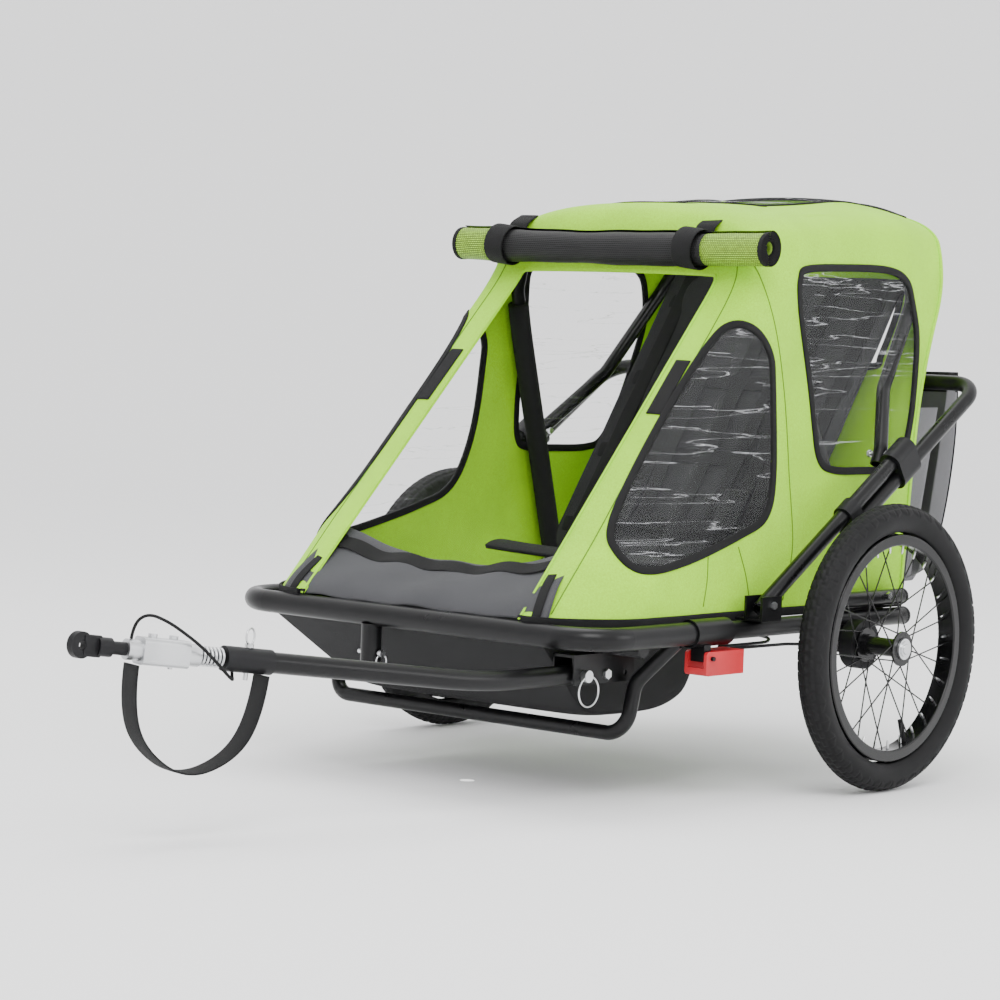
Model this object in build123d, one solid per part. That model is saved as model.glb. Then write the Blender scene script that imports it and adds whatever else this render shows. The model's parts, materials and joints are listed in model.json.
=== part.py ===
from build123d import *
import math
import os

# Child bicycle trailer: a folded-tube chassis on two 16-inch wheels, with a fabric cabin,
# a push handle and a tow arm. Millimetres, +Z up, front faces -Y, the trailer's left is +X.
# Shapes are drawn about the axle's foot (x = 0, y = 0 over the axle line, z = 0 the ground),
# and save() moves them by AXLE_Y, which centres the whole trailer on the origin.
AXLE_Y = 411.5

# Wheels
WHEEL_DIAMETER = 400.0
TYRE_WIDTH = 44.0
WHEEL_PLANE_X = 405.0
AXLE_HEIGHT = WHEEL_DIAMETER / 2
AXLE_RADIUS = 6.0
SPOKE_COUNT = 28
HUB_INNER_X = 366.0
HUB_OUTER_X = 428.0
RIM_OUTER = 158.0
RIM_INNER = 142.0

# Chassis tubes
WALL = 1.5
BAR_RADIUS = 15.5
RAIL_RADIUS = 12.5
TUBE_RADIUS = 11.0
RAIL_X = 325.0
RAIL_Z = 230.0
FRONT_BAR_Y = -544.0
SLEEVE_FRONT_Y = -350.0
RAIL_FRONT_Y = -313.0
SLEEVE_REAR_Y = -272.0
RAIL_REAR_Y = 148.0
UPPER_RAIL_Z = 258.0

# Push-handle stays: a line in the side plane from the rail bracket up and back
STAY_X = 345.0
STAY_FOOT = (-213.0, 264.0)
STAY_ANGLE = 33.0
STAY_LENGTH = 384.0
HANDLE_DROP = 26.0
HANDLE_START = 205.0
HANDLE_REACH = 588.0

# Tow arm and hitch
ARM_X = 232.0
ARM_RADIUS = 13.0
ARM_PIVOT = (-427.0, 174.0)
LOCK_PIN_Y = -472.0
STOW_HOLE_Y = -387.0
ARM_BEND = (232.0, -652.0, 175.5)
HITCH_EYE = (85.0, -1199.0, 240.0)
BIKE_AXLE_RADIUS = 5.2

# Running clearance of a shaft in a moving hole
RUNNING = 0.06


def save(name, *shapes):
    """Move the shapes from the axle's foot to the row frame and write them as one node."""
    solids = [solid for shape in shapes for solid in shape.solids()]
    placed = [solid.moved(Location((0, AXLE_Y, 0))) for solid in solids]
    export_step(Compound(children=placed), f"parts/{name}.step")


def mirrored(shape):
    """The same shape on the trailer's other side."""
    return mirror(shape, about=Plane.YZ)


def route(points, bend):
    """Straight runs between points, joined by tangent arcs."""
    if len(points) == 2:
        return Line(*points)
    return FilletPolyline(*points, radius=bend)


def rod(points, radius, bend=30.0):
    """A round bar along a route."""
    path = route(points, bend)
    start = Plane(origin=path @ 0, z_dir=path % 0)
    return sweep(start * Circle(radius), path=path)


def tube(points, radius, bend=30.0, wall=WALL):
    """A hollow round tube, open at both ends."""
    return rod(points, radius, bend) - rod(points, radius - wall, bend)


def x_rod(x0, x1, y, z, radius):
    """A round bar along X from x0 to x1."""
    return Pos((x0 + x1) / 2, y, z) * Rot(0, 90, 0) * Cylinder(radius, abs(x1 - x0))


def y_rod(y0, y1, x, z, radius):
    """A round bar along Y from y0 to y1."""
    return Pos(x, (y0 + y1) / 2, z) * Rot(90, 0, 0) * Cylinder(radius, abs(y1 - y0))


def block(x0, x1, y0, y1, z0, z1):
    """A box given by its faces."""
    return Pos((x0 + x1) / 2, (y0 + y1) / 2, (z0 + z1) / 2) * Box(x1 - x0, y1 - y0, z1 - z0)


def hex_bolt(x0, x1, y, z, radius, head=4.0):
    """A bolt along X with a hexagon head beyond x1 and a nut before x0."""
    shank = x_rod(x0, x1, y, z, radius)
    hexagon = Plane(origin=(x1, y, z), z_dir=(1, 0, 0)) * RegularPolygon(radius * 1.75, 6)
    nut = Plane(origin=(x0, y, z), z_dir=(-1, 0, 0)) * RegularPolygon(radius * 1.75, 6)
    return shank + extrude(hexagon, head) + extrude(nut, head)


# ---------------------------------------------------------------- chassis

def front_bar():
    """Bent front tube with swaged sleeves for the side rails and a lower cross tube."""
    corner = 62.0
    start = (RAIL_X, RAIL_FRONT_Y - 4, RAIL_Z)
    points = [start, (RAIL_X, FRONT_BAR_Y, RAIL_Z), (-RAIL_X, FRONT_BAR_Y, RAIL_Z)]
    points.append((-RAIL_X, RAIL_FRONT_Y - 4, RAIL_Z))
    outer = rod(points, BAR_RADIUS, corner)
    inner = rod(points, BAR_RADIUS - WALL, corner)
    cross_z = RAIL_Z - 17
    cross_y = FRONT_BAR_Y + 108
    outer += x_rod(-RAIL_X + 6, RAIL_X - 6, cross_y, cross_z, TUBE_RADIUS)
    inner += x_rod(-RAIL_X + 8, RAIL_X - 8, cross_y, cross_z, TUBE_RADIUS - WALL)
    for x in (RAIL_X, -RAIL_X):
        outer += y_rod(SLEEVE_FRONT_Y, SLEEVE_REAR_Y, x, RAIL_Z, BAR_RADIUS + 3)
        inner += y_rod(RAIL_FRONT_Y - 4, SLEEVE_REAR_Y, x, RAIL_Z, RAIL_RADIUS + RUNNING)
    return outer - inner


def side_frame():
    """Side rail, the short upper rail over the axle and the axle carrier, welded together."""
    outer = y_rod(RAIL_FRONT_Y, RAIL_REAR_Y, RAIL_X, RAIL_Z, RAIL_RADIUS)
    inner = y_rod(RAIL_FRONT_Y, RAIL_REAR_Y, RAIL_X, RAIL_Z, RAIL_RADIUS - WALL)
    upper = [(RAIL_X, 143, UPPER_RAIL_Z), (RAIL_X, -28, UPPER_RAIL_Z), (RAIL_X, -28, RAIL_Z)]
    outer += rod(upper, TUBE_RADIUS, 22)
    inner += rod(upper, TUBE_RADIUS - WALL, 22)
    carrier = block(306, 338, -40, 22, 189, 226) - y_rod(-60, 60, RAIL_X, RAIL_Z, RAIL_RADIUS)
    carrier += x_rod(296, 340, 0, AXLE_HEIGHT, 15)
    frame = (outer - inner) + carrier
    frame -= hoop_bolt_line(3.1)
    frame -= x_rod(280, 360, 0, AXLE_HEIGHT, AXLE_RADIUS + RUNNING)
    frame -= x_rod(310, 360, -27, AXLE_HEIGHT, 3.3 + RUNNING)
    return frame


def tube_plugs():
    """Moulded plugs in the rear ends of both rails on both sides."""
    plugs = []
    for z, radius, end in ((RAIL_Z, RAIL_RADIUS, RAIL_REAR_Y), (UPPER_RAIL_Z, TUBE_RADIUS, 143)):
        plug = y_rod(end, end + 5, RAIL_X, z, radius + 0.5)
        plug = fillet(plug.edges().group_by(Axis.Y)[-1], 2.0)
        plug += y_rod(end - 14, end, RAIL_X, z, radius - WALL - 0.1)
        plugs += [plug, mirrored(plug)]
    return plugs


def cross_tubes():
    """Two tubes between the side rails, under the seat's front edge and behind the axle."""
    reach = RAIL_X - RAIL_RADIUS - 0.2
    tubes = []
    for y in (-150.0, 118.0):
        hollow = x_rod(-reach, reach, y, RAIL_Z, TUBE_RADIUS - WALL)
        tubes.append(x_rod(-reach, reach, y, RAIL_Z, TUBE_RADIUS) - hollow)
    return tubes


def skid_loop():
    """Loop the trailer's nose rests on when it is off the bicycle."""
    points = [(318, -366, 219), (263, -381, 160), (268, -404, 93)]
    points += [(-x, y, z) for x, y, z in reversed(points)]
    loop = tube(points, 10.0, [26, 30, 30, 26])
    for x in (RAIL_X, -RAIL_X):
        loop -= y_rod(-480, -280, x, RAIL_Z, BAR_RADIUS + 0.1)
    return loop


def stay_point(along, x=STAY_X, drop=0.0):
    """Point on the stay's line, or drop below it, at a distance from its foot."""
    turn = math.radians(STAY_ANGLE)
    y = STAY_FOOT[0] + along * math.cos(turn) + drop * math.sin(turn)
    z = STAY_FOOT[1] + along * math.sin(turn) - drop * math.cos(turn)
    return (x, y, z)


def along_stay(start, end, drop, radius):
    """A round bar on the stay's line between two distances from its foot."""
    return rod([stay_point(start, drop=drop), stay_point(end, drop=drop)], radius)


def stay():
    """Straight tube from the rail bracket to the upper clamp, with its pivot hole."""
    body = along_stay(-12, STAY_LENGTH, 0, TUBE_RADIUS)
    body -= along_stay(-20, STAY_LENGTH + 1, 0, TUBE_RADIUS - WALL)
    return body - x_rod(320, 370, STAY_FOOT[0], STAY_FOOT[1], 3.1)


def rail_bracket():
    """Folded bracket that holds the stay's foot on the side rail."""
    y, z = STAY_FOOT
    base_z = RAIL_Z + RAIL_RADIUS + 0.2
    base = block(316, 360, y - 24, y + 20, base_z, base_z + 3)
    ears = block(330, 333.5, y - 24, y + 20, base_z, z + 12)
    ears += block(356.5, 360, y - 24, y + 20, base_z, z + 12)
    # the stay leaves the bracket upwards and back, so the base is notched for its foot
    body = base + ears - along_stay(-14, 60, 0, TUBE_RADIUS + 0.3)
    return body - x_rod(300, 380, y, z, 3.1)


def clamp(start, end, stay_bore, handle_bore, half_width):
    """Moulded block round a stay and a handle leg."""
    middle = (start + end) / 2
    centre = stay_point(middle, drop=HANDLE_DROP / 2)
    frame = Plane(origin=centre, x_dir=(1, 0, 0), z_dir=stay_direction())
    outline = RectangleRounded(half_width * 2, HANDLE_DROP + half_width * 2 - 2, half_width - 1)
    body = extrude(frame * outline, (end - start) / 2, both=True)
    body -= along_stay(start - 5, end + 5, 0, stay_bore)
    return body - along_stay(start - 5, end + 5, HANDLE_DROP, handle_bore)


def stay_direction():
    """Unit vector along the stay."""
    turn = math.radians(STAY_ANGLE)
    return (0, math.cos(turn), math.sin(turn))


def push_handle():
    """U-shaped handle: two legs beside the stays and a crossbar behind the cabin."""
    left = [stay_point(HANDLE_START, drop=HANDLE_DROP), stay_point(HANDLE_REACH, drop=HANDLE_DROP)]
    right = [(-x, y, z) for x, y, z in reversed(left)]
    return tube(left + right, TUBE_RADIUS, 42)


HOOP_BENDS = [24, 60, 60, 50, 50, 60, 60, 24]


def rear_hoop_route():
    """Centre line of the rear hoop from foot to foot."""
    points = [(315, 83, 447), (312, 96, 468), (260, 172, 552), (236, 272, 680), (196, 310, 776)]
    return points + [(-x, y, z) for x, y, z in reversed(points)]


def rear_hoop():
    """Hoop that carries the rear of the roof; its feet stand inside the upper clamps."""
    bolt_y, bolt_z = stay_point(362)[1:]
    return tube(rear_hoop_route(), 10.0, HOOP_BENDS) - x_rod(-400, 400, bolt_y, bolt_z, 3.1)


def hoop_bolt_line(radius):
    """A round bar right through both upper rails, where the front hoop's feet are bolted."""
    return x_rod(-400, 400, 95, UPPER_RAIL_Z + 4, radius)


def front_hoop_route():
    """Centre line of the front hoop from foot to foot."""
    points = [(290, 99, 252), (230, -78, 676), (202, -92, 748)]
    return points + [(-x, y, z) for x, y, z in reversed(points)]


def front_hoop():
    """Hoop under the roof's front edge, standing on the upper rails."""
    return tube(front_hoop_route(), 10.0, [60, 46, 46, 60]) - hoop_bolt_line(3.1)


def frame_bolts():
    """Hexagon bolts of one size: stay feet, hoop feet on the clamps and on the upper rails."""
    y, z = STAY_FOOT
    clamp_y, clamp_z = stay_point(362)[1:]
    bolts = [hex_bolt(329.8, 360.2, y, z, 3.0), hex_bolt(276, 336.2, 95, UPPER_RAIL_Z + 4, 3.0)]
    bolts.append(hex_bolt(299, 324.3, clamp_y, clamp_z, 3.0))
    return bolts + [mirrored(bolt) for bolt in bolts]


# ---------------------------------------------------------------- wheels

def revolved(profile):
    """Turn a profile drawn with Y as radius and X as width about the wheel's axle."""
    face = Plane(origin=(WHEEL_PLANE_X, 0, AXLE_HEIGHT), x_dir=(1, 0, 0), z_dir=(0, -1, 0)) * profile
    return revolve(face, Axis((0, 0, AXLE_HEIGHT), (1, 0, 0)), 360)


def tyre():
    """Tyre casing, open towards the rim."""
    middle = (WHEEL_DIAMETER / 2 + RIM_OUTER - 6) / 2
    height = WHEEL_DIAMETER / 2 - middle
    casing = Pos(0, middle) * Ellipse(TYRE_WIDTH / 2, height)
    casing -= Pos(0, middle) * Ellipse(TYRE_WIDTH / 2 - 3, height - 3.5)
    casing -= Pos(0, RIM_OUTER - 10) * Rectangle(TYRE_WIDTH, 20.6)
    return revolved(casing)


def rim():
    """Box-section rim with a well for the tyre's beads and a valve hole."""
    section = Pos(0, (RIM_OUTER + RIM_INNER) / 2) * RectangleRounded(28, RIM_OUTER - RIM_INNER, 2.5)
    section -= Pos(0, RIM_OUTER - 2) * Rectangle(20, 12)
    return revolved(section) - valve_stem(4.4, RIM_INNER - 20, RIM_OUTER)


VALVE_ANGLE = 360 / SPOKE_COUNT * 22.5


def valve_stem(radius, inner, outer):
    """A round bar pointing from the rim to the axle, at the valve's place."""
    turn = math.radians(VALVE_ANGLE)
    way = Vector(0, math.cos(turn), math.sin(turn))
    centre = Vector(WHEEL_PLANE_X, 0, AXLE_HEIGHT)
    ends = [centre + way * inner, centre + way * outer]
    return rod([tuple(end) for end in ends], radius)


def inner_tube():
    """Air tube with its valve."""
    middle = 178.0
    wall = Pos(0, middle) * (Circle(16.5) - Circle(15.3))
    body = revolved(wall) + valve_stem(3.8, RIM_INNER - 32, middle - 16)
    return body - valve_stem(1.2, RIM_INNER - 40, middle - 10)


def spokes():
    """Crossed spokes from the two hub flanges to the rim."""
    bars = []
    step = 360 / SPOKE_COUNT
    cross = 52.0
    for index in range(SPOKE_COUNT):
        flange_x = HUB_INNER_X + 1.5 if index % 2 else HUB_OUTER_X - 1.5
        rim_x = WHEEL_PLANE_X + (-3 if index % 2 else 3)
        lead = cross if (index // 2) % 2 else -cross
        at_rim = math.radians(index * step)
        at_hub = math.radians(index * step + lead)
        start = (flange_x, 20.5 * math.cos(at_hub), AXLE_HEIGHT + 20.5 * math.sin(at_hub))
        end_radius = RIM_INNER + 2
        end = (rim_x, end_radius * math.cos(at_rim), AXLE_HEIGHT + end_radius * math.sin(at_rim))
        bars.append(rod([start, end], 1.0))
    return bars


def hub():
    """Hub shell: narrow barrel, two spoke flanges and bearing seats."""
    body = x_rod(HUB_INNER_X, HUB_OUTER_X, 0, AXLE_HEIGHT, 12.5)
    body += x_rod(HUB_INNER_X, HUB_INNER_X + 3, 0, AXLE_HEIGHT, 24)
    body += x_rod(HUB_OUTER_X - 3, HUB_OUTER_X, 0, AXLE_HEIGHT, 24)
    body += x_rod(HUB_INNER_X, HUB_INNER_X + 9, 0, AXLE_HEIGHT, 15)
    body += x_rod(HUB_OUTER_X - 9, HUB_OUTER_X, 0, AXLE_HEIGHT, 15)
    body -= x_rod(HUB_INNER_X - 1, HUB_OUTER_X + 1, 0, AXLE_HEIGHT, 8)
    for start in (HUB_INNER_X - 1, HUB_OUTER_X - 6.5):
        body -= x_rod(start, start + 7.5, 0, AXLE_HEIGHT, 12.05)
    return body


def hub_bearings():
    """Two ball bearings, 12 mm bore by 24 mm, drawn as plain rings."""
    rings = []
    for start in (HUB_INNER_X + 0.4, HUB_OUTER_X - 6.4):
        ring = x_rod(start, start + 6, 0, AXLE_HEIGHT, 12)
        rings.append(ring - x_rod(start - 1, start + 7, 0, AXLE_HEIGHT, AXLE_RADIUS + RUNNING))
    return rings


def brake_star():
    """Slotted parking-brake ring on the hub's inner face."""
    body = x_rod(344, HUB_INNER_X - 0.3, 0, AXLE_HEIGHT, 34)
    body -= x_rod(340, HUB_INNER_X, 0, AXLE_HEIGHT, 8)
    for index in range(12):
        turn = math.radians(30 * index)
        slot = Pos(350, 26 * math.cos(turn), AXLE_HEIGHT + 26 * math.sin(turn))
        body -= slot * Rot(30 * index, 0, 0) * Box(13, 11, 8.4)
    return body


def wheel_axle():
    """Quick-release axle that plugs into the axle carrier, with its outer head."""
    face = HUB_OUTER_X + 0.6
    body = x_rod(292, face + 1, 0, AXLE_HEIGHT, AXLE_RADIUS)
    body += x_rod(face, face + 3.4, 0, AXLE_HEIGHT, 14.5)
    body += x_rod(face + 3.4, face + 5.4, 0, AXLE_HEIGHT, 11)
    body -= x_rod(face + 1, face + 9, 0, AXLE_HEIGHT, 7.5 + RUNNING)
    return body - x_rod(face - 14, face + 3, 0, AXLE_HEIGHT, 3 + RUNNING)


def release_button():
    """Push button in the axle's head that frees the wheel."""
    body = x_rod(HUB_OUTER_X + 4.8, HUB_OUTER_X + 8, 0, AXLE_HEIGHT, 7.5)
    body = fillet(body.edges().group_by(Axis.X)[-1], 1.0)
    return body + x_rod(HUB_OUTER_X - 8, HUB_OUTER_X + 6, 0, AXLE_HEIGHT, 3)


# ---------------------------------------------------------------- brake

def brake_pedal():
    """Foot pedal under the left rail: a channel that hangs from its pivot pin."""
    body = block(308, 344, -334, -252, 174, 206) - block(312, 340, -328, -246, 170, 202)
    body = fillet(body.edges().filter_by(Axis.X).group_by(Axis.Y)[0], 5)
    body -= x_rod(300, 350, -322, 197, 3 + RUNNING)
    room = block(312.5, 339.5, -336, -306, 184, 208)
    return body - room


def pedal_hanger():
    """Hanger welded under the rail sleeve, with the pedal's pivot pin."""
    sleeve = BAR_RADIUS + 3
    body = block(314, 336, -329, -315, 192, RAIL_Z - sleeve + 3)
    body -= y_rod(-400, -200, RAIL_X, RAIL_Z, sleeve - 0.5)
    return body + x_rod(304, 348, -322, 197, 3)


def brake_pawl():
    """Locking pin that slides out of the axle carrier into the brake ring."""
    return x_rod(312, 341.5, -27, AXLE_HEIGHT, 3.3)


def brake_cables():
    """Cable casings from the pedal to the left and the right axle carrier."""
    left = rod([(318, -248, 204), (318, -120, 203), (318, -40.5, 198)], 2.2, 200)
    across = [(300, -250, 205), (300, -140, 205), (270, -92, 207), (-270, -92, 207)]
    across += [(-318, -86, 204), (-318, -40.5, 198)]
    return [left, rod(across, 2.2, [60, 60, 40, 18])]


# ---------------------------------------------------------------- tow arm and hitch

def tow_bracket():
    """Channel under the front cross tube that holds the arm's end between its walls."""
    y0, y1 = -494.0, -369.0
    body = block(ARM_X - 18, ARM_X + 18, y0, y1, 162, 202)
    body = fillet(body.edges().filter_by(Axis.X).group_by(Axis.Z)[0], 8)
    body -= block(ARM_X - 15, ARM_X + 15, y0 - 1, y1 + 1, 150, 198.5)
    for y in (ARM_PIVOT[0], LOCK_PIN_Y, STOW_HOLE_Y):
        body -= x_rod(ARM_X - 30, ARM_X + 30, y, ARM_PIVOT[1], 4 + RUNNING)
    return body


def tow_arm():
    """Bent tube from the bracket to the hitch, with its pivot hole and pin slot."""
    end = hitch_point(202)
    start = (ARM_X, ARM_PIVOT[0] + 15, ARM_PIVOT[1])
    body = tube([start, ARM_BEND, end], ARM_RADIUS, 420, 2.0)
    body -= x_rod(ARM_X - 30, ARM_X + 30, *ARM_PIVOT, 4 + RUNNING)
    # the pin's hole is open at the top, so the arm can swing down past the pin
    body -= x_rod(ARM_X - 30, ARM_X + 30, LOCK_PIN_Y, ARM_PIVOT[1], 4.4)
    return body - block(ARM_X - 30, ARM_X + 30, LOCK_PIN_Y - 4.4, LOCK_PIN_Y + 7.4, 174, 200)


def hitch_way():
    """Unit vector from the hitch's eye back along the arm."""
    return (Vector(*ARM_BEND) - Vector(*HITCH_EYE)).normalized()


def hitch_point(distance, side=0.0, rise=0.0):
    """Point at a distance behind the eye, moved sideways and up across the arm."""
    way = hitch_way()
    across = way.cross(Vector(0, 0, -1)).normalized()
    up = way.cross(across).normalized()
    if up.Z < 0:
        up = up * -1
    if across.X < 0:
        across = across * -1
    return tuple(Vector(*HITCH_EYE) + way * distance + across * side + up * rise)


def hitch_plane(distance):
    """Plane across the arm's line, with its X axis level."""
    origin = Vector(*hitch_point(distance))
    level = Vector(*hitch_point(distance, side=1)) - origin
    return Plane(origin=origin, x_dir=level, z_dir=hitch_way())


def hitch_rod(start, end, radius, side=0.0, rise=0.0):
    """A round bar along the arm's line near the hitch."""
    return rod([hitch_point(start, side, rise), hitch_point(end, side, rise)], radius)


def tow_pivot_bolt():
    """Shouldered bolt on which the tow arm folds."""
    return hex_bolt(ARM_X - 18.2, ARM_X + 18.2, *ARM_PIVOT, 4.0, 4.5)


def pull_ring(centre, radius, wire, normal):
    """A ring of round wire."""
    return Plane(origin=centre, z_dir=normal) * Torus(radius, wire)


def tow_lock_pin():
    """Pin with a round head and a hanging wire bail."""
    z = ARM_PIVOT[1]
    body = x_rod(ARM_X - 24, ARM_X + 19, LOCK_PIN_Y, z, 4.0)
    body += x_rod(ARM_X + 18.2, ARM_X + 27, LOCK_PIN_Y, z, 8.0)
    return body + pull_ring((ARM_X + 25, LOCK_PIN_Y + 2, z - 20), 20, 1.2, (1, 0, 0))


def arm_sleeve():
    """Moulded sleeve over the arm's front end."""
    body = extrude(hitch_plane(192) * Circle(15.5), 66)
    body -= extrude(hitch_plane(201) * Circle(ARM_RADIUS + 0.1), 70)
    return body - linch_rod(-30, 30, 3 + RUNNING)


LINCH_DISTANCE = 226.0


def linch_rod(low, high, radius):
    """A round bar across the arm at the linch pin, from low to high."""
    return rod([hitch_point(LINCH_DISTANCE, rise=low), hitch_point(LINCH_DISTANCE, rise=high)], radius)


def linch_pin():
    """Pin through the sleeve and the arm, with its pull ring on top."""
    body = linch_rod(-24, 20, 3.0) + linch_rod(16, 20, 5.5)
    return body + pull_ring(hitch_point(LINCH_DISTANCE, rise=29), 10, 1.3, (1, 0.3, 0))


def hitch_spring():
    """Coil that lets the hitch flex, drawn as its separate turns."""
    turns = []
    for index in range(6):
        frame = hitch_plane(161.5 + index * 5.2)
        turns.append(frame * Torus(10.6, 1.9))
    return turns


def hitch_core():
    """Rubber core inside the coil."""
    return hitch_rod(162, 188, 7)


def hitch_housing():
    """Die-cast body between the coil and the shaft, pinched by its clamp bolt."""
    profile = RectangleRounded(30, 33, 7)
    body = extrude(hitch_plane(78) * profile, 62)
    body += extrude(hitch_plane(139) * Circle(13.5), 18)
    body += extrude(hitch_plane(60) * Circle(12.5), 20)
    body -= hitch_rod(55, 100, 8 + RUNNING)
    for distance in (94, 122):
        body -= housing_rod(distance, -30, 30, 3)
    return body


def housing_rod(distance, low, high, radius):
    """A round bar across the housing, from low to high."""
    return rod([hitch_point(distance, rise=low), hitch_point(distance, rise=high)], radius)


def hitch_bolts():
    """Two bolts down through the housing."""
    bolts = []
    for distance, low in ((94, 9.0), (122, -19.0)):
        bolt = housing_rod(distance, low, 17, 2.9) + housing_rod(distance, 16.6, 21, 5.5)
        bolts.append(bolt)
    return bolts


def hitch_shaft():
    """Round tongue that turns in the housing and carries the axle eye."""
    return hitch_rod(24, 84, 8)


def axle_eye():
    """Elbow with the eye that goes on the bicycle's rear axle."""
    x, y, z = HITCH_EYE
    plate = x_rod(x - 5, x + 5, y, z, 16)
    plate += extrude(hitch_plane(4) * RectangleRounded(10, 26, 3), 22)
    plate += extrude(hitch_plane(22) * Circle(11.5), 18)
    plate -= hitch_rod(24, 60, 8.1)
    return plate - x_rod(x - 20, x + 20, y, z, BIKE_AXLE_RADIUS)


def safety_strap_route():
    """The webbing strap's line: down from the housing, round below and up to the sleeve."""
    spots = [(72, -16.8), (72, -62), (94, -114), (155, -147), (218, -118), (245, -66), (247, -15.8)]
    return [hitch_point(distance, rise=rise) for distance, rise in spots]


def natural_radii(points):
    """For each corner, 0.45 of the shorter run over the tangent of half the turn."""
    radii = []
    for before, here, after in zip(points, points[1:], points[2:]):
        first = Vector(*here) - Vector(*before)
        second = Vector(*after) - Vector(*here)
        turn = math.radians(first.get_angle(second))
        radii.append(0.45 * min(first.length, second.length) / math.tan(turn / 2))
    return radii


def safety_strap():
    """Flat webbing that keeps the trailer on the bicycle if the hitch lets go."""
    points = safety_strap_route()
    path = FilletPolyline(*points, radius=natural_radii(points))
    print("safety_strap radii", [round(radius) for radius in natural_radii(points)], path.length)
    across = Vector(*hitch_point(0, side=1)) - Vector(*hitch_point(0))
    start = Plane(origin=path @ 0, x_dir=across, z_dir=path % 0)
    return sweep(start * Rectangle(38, 2.4), path=path)


def lanyard_route():
    """The pin lanyard's line, from the housing's nose over its top to the sleeve."""
    spots = [(66, 0, 12.8), (66, 2, 32), (80, 8, 45), (104, 14, 38), (126, 20, 26), (150, 22, 12)]
    spots += [(172, 21, -4), (190, 19, -18), (204, 10, -25), (208, 0, -22), (209, -4, -15)]
    return [hitch_point(*spot) for spot in spots]


def lanyard():
    """Thin cord that keeps the linch pin with the hitch."""
    points = lanyard_route()
    path = FilletPolyline(*points, radius=natural_radii(points))
    print("lanyard radii", [round(radius) for radius in natural_radii(points)], path.length)
    return sweep(Plane(origin=path @ 0, z_dir=path % 0) * Circle(2.0), path=path)


# ---------------------------------------------------------------- front wheel socket

SOCKET_X = -65.0


def front_wheel_socket():
    """Short tube under the front bar that takes the stroller wheel's stem."""
    z_top = RAIL_Z - BAR_RADIUS + 3
    body = Pos(SOCKET_X, FRONT_BAR_Y, (166 + z_top) / 2) * Cylinder(14, z_top - 166)
    body -= Pos(SOCKET_X, FRONT_BAR_Y, 166 + 22) * Cylinder(11.5, 44)
    body -= x_rod(-400, 400, FRONT_BAR_Y, RAIL_Z, BAR_RADIUS + 0.1)
    return body - x_rod(SOCKET_X - 30, SOCKET_X + 30, FRONT_BAR_Y, 178, 3 + RUNNING)


def socket_pin():
    """Pin across the socket with its pull ring."""
    body = x_rod(SOCKET_X - 22, SOCKET_X + 22, FRONT_BAR_Y, 178, 3)
    body += x_rod(SOCKET_X + 17, SOCKET_X + 22, FRONT_BAR_Y, 178, 5)
    return body + pull_ring((SOCKET_X + 20, FRONT_BAR_Y, 167), 10, 1.2, (1, 0, 0))


# ---------------------------------------------------------------- cabin and soft parts

SIDE_OUTLINE = [(-546, 248), (-125, 712), (-113, 776), (-60, 796), (300, 827), (336, 812)]
SIDE_OUTLINE += [(338, 745), (332, 690), (278, 595), (242, 509), (165, 248)]
FRONT_OUTLINE = [(311, 246), (248, 700), (226, 770), (150, 812), (0, 828)]


CORNER_CUT = [(240, -546, 250), (311, -455, 250), (246, -128, 708)]


def corner_cut(grow):
    """The half of space behind the plane that takes off the cabin's left front corner."""
    first, second, third = [Vector(*point) for point in CORNER_CUT]
    outward = (second - first).cross(third - first).normalized()
    if outward.X < 0:
        outward = outward * -1
    face = Plane(origin=first + outward * grow, z_dir=outward * -1)
    return extrude(face * Rectangle(3000, 3000), 3000)


def cabin_form(grow):
    """The cabin's outer form, swollen or shrunk by grow: its side view cut by its front view."""
    side = offset(make_face(Polyline(*SIDE_OUTLINE, close=True)), grow)
    side_bar = extrude(Plane.YZ * side, 400, both=True)
    outline = FRONT_OUTLINE + [(-x, z) for x, z in reversed(FRONT_OUTLINE[:-1])]
    front = offset(make_face(Polyline(*outline, close=True)), grow)
    front_bar_shape = extrude(Plane.XZ * front, 700, both=True)
    corner = corner_cut(grow)
    return side_bar & front_bar_shape & corner & mirrored(corner)


def window_bars(points, grow=0.0):
    """A side-view outline with rounded corners, carried through the cabin's two side walls."""
    face = make_face(Polyline(*points, close=True))
    face = offset(fillet(face.vertices(), 28), grow)
    bar = extrude(Plane.YZ * face, 400)
    bar &= block(215, 400, -600, 400, 200, 900)
    return bar + mirrored(bar)


FRONT_WINDOW = [(-440, 325), (-290, 321), (-154, 347), (-112, 500), (-104, 636), (-184, 636)]
REAR_WINDOW = [(-34, 720), (-24, 440), (130, 438), (212, 486), (256, 640), (246, 724)]


def front_opening():
    """The doorway in the sloping front, wider at its foot."""
    slope = math.atan2(712 - 248, -125 + 546)
    foot = (0, -546, 248)
    frame = Plane(origin=foot, x_dir=(1, 0, 0), z_dir=(0, -math.sin(slope), math.cos(slope)))
    outline = Polyline((209, 6), (190, 606), (-190, 606), (-209, 6), close=True)
    doorway = fillet(make_face(outline).vertices(), 20)
    return extrude(frame * doorway, 30, both=True)


COVER_THICKNESS = 2.5


def cabin_shell():
    """Fabric walls, roof and floor before the windows are cut."""
    shell = cabin_form(0) - cabin_form(-COVER_THICKNESS)
    shell -= front_opening()
    shell -= block(-212, 212, -430, -166, 230, 262)
    shell -= block(-120, 120, 40, 270, 760, 860)
    shell -= hoop_bolt_line(3.6)
    shell -= rod(front_hoop_route(), 10.5, [60, 46, 46, 60])
    return shell - rod(rear_hoop_route(), 12.0, HOOP_BENDS)


def back_window(grow=0.0):
    """The clear panel in the rear wall, as a bar along Y."""
    outline = offset(fillet(Rectangle(360, 120).vertices(), 30), grow)
    return Pos(0, 340, 640) * extrude(Plane.XZ * outline, 90, both=True)


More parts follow.
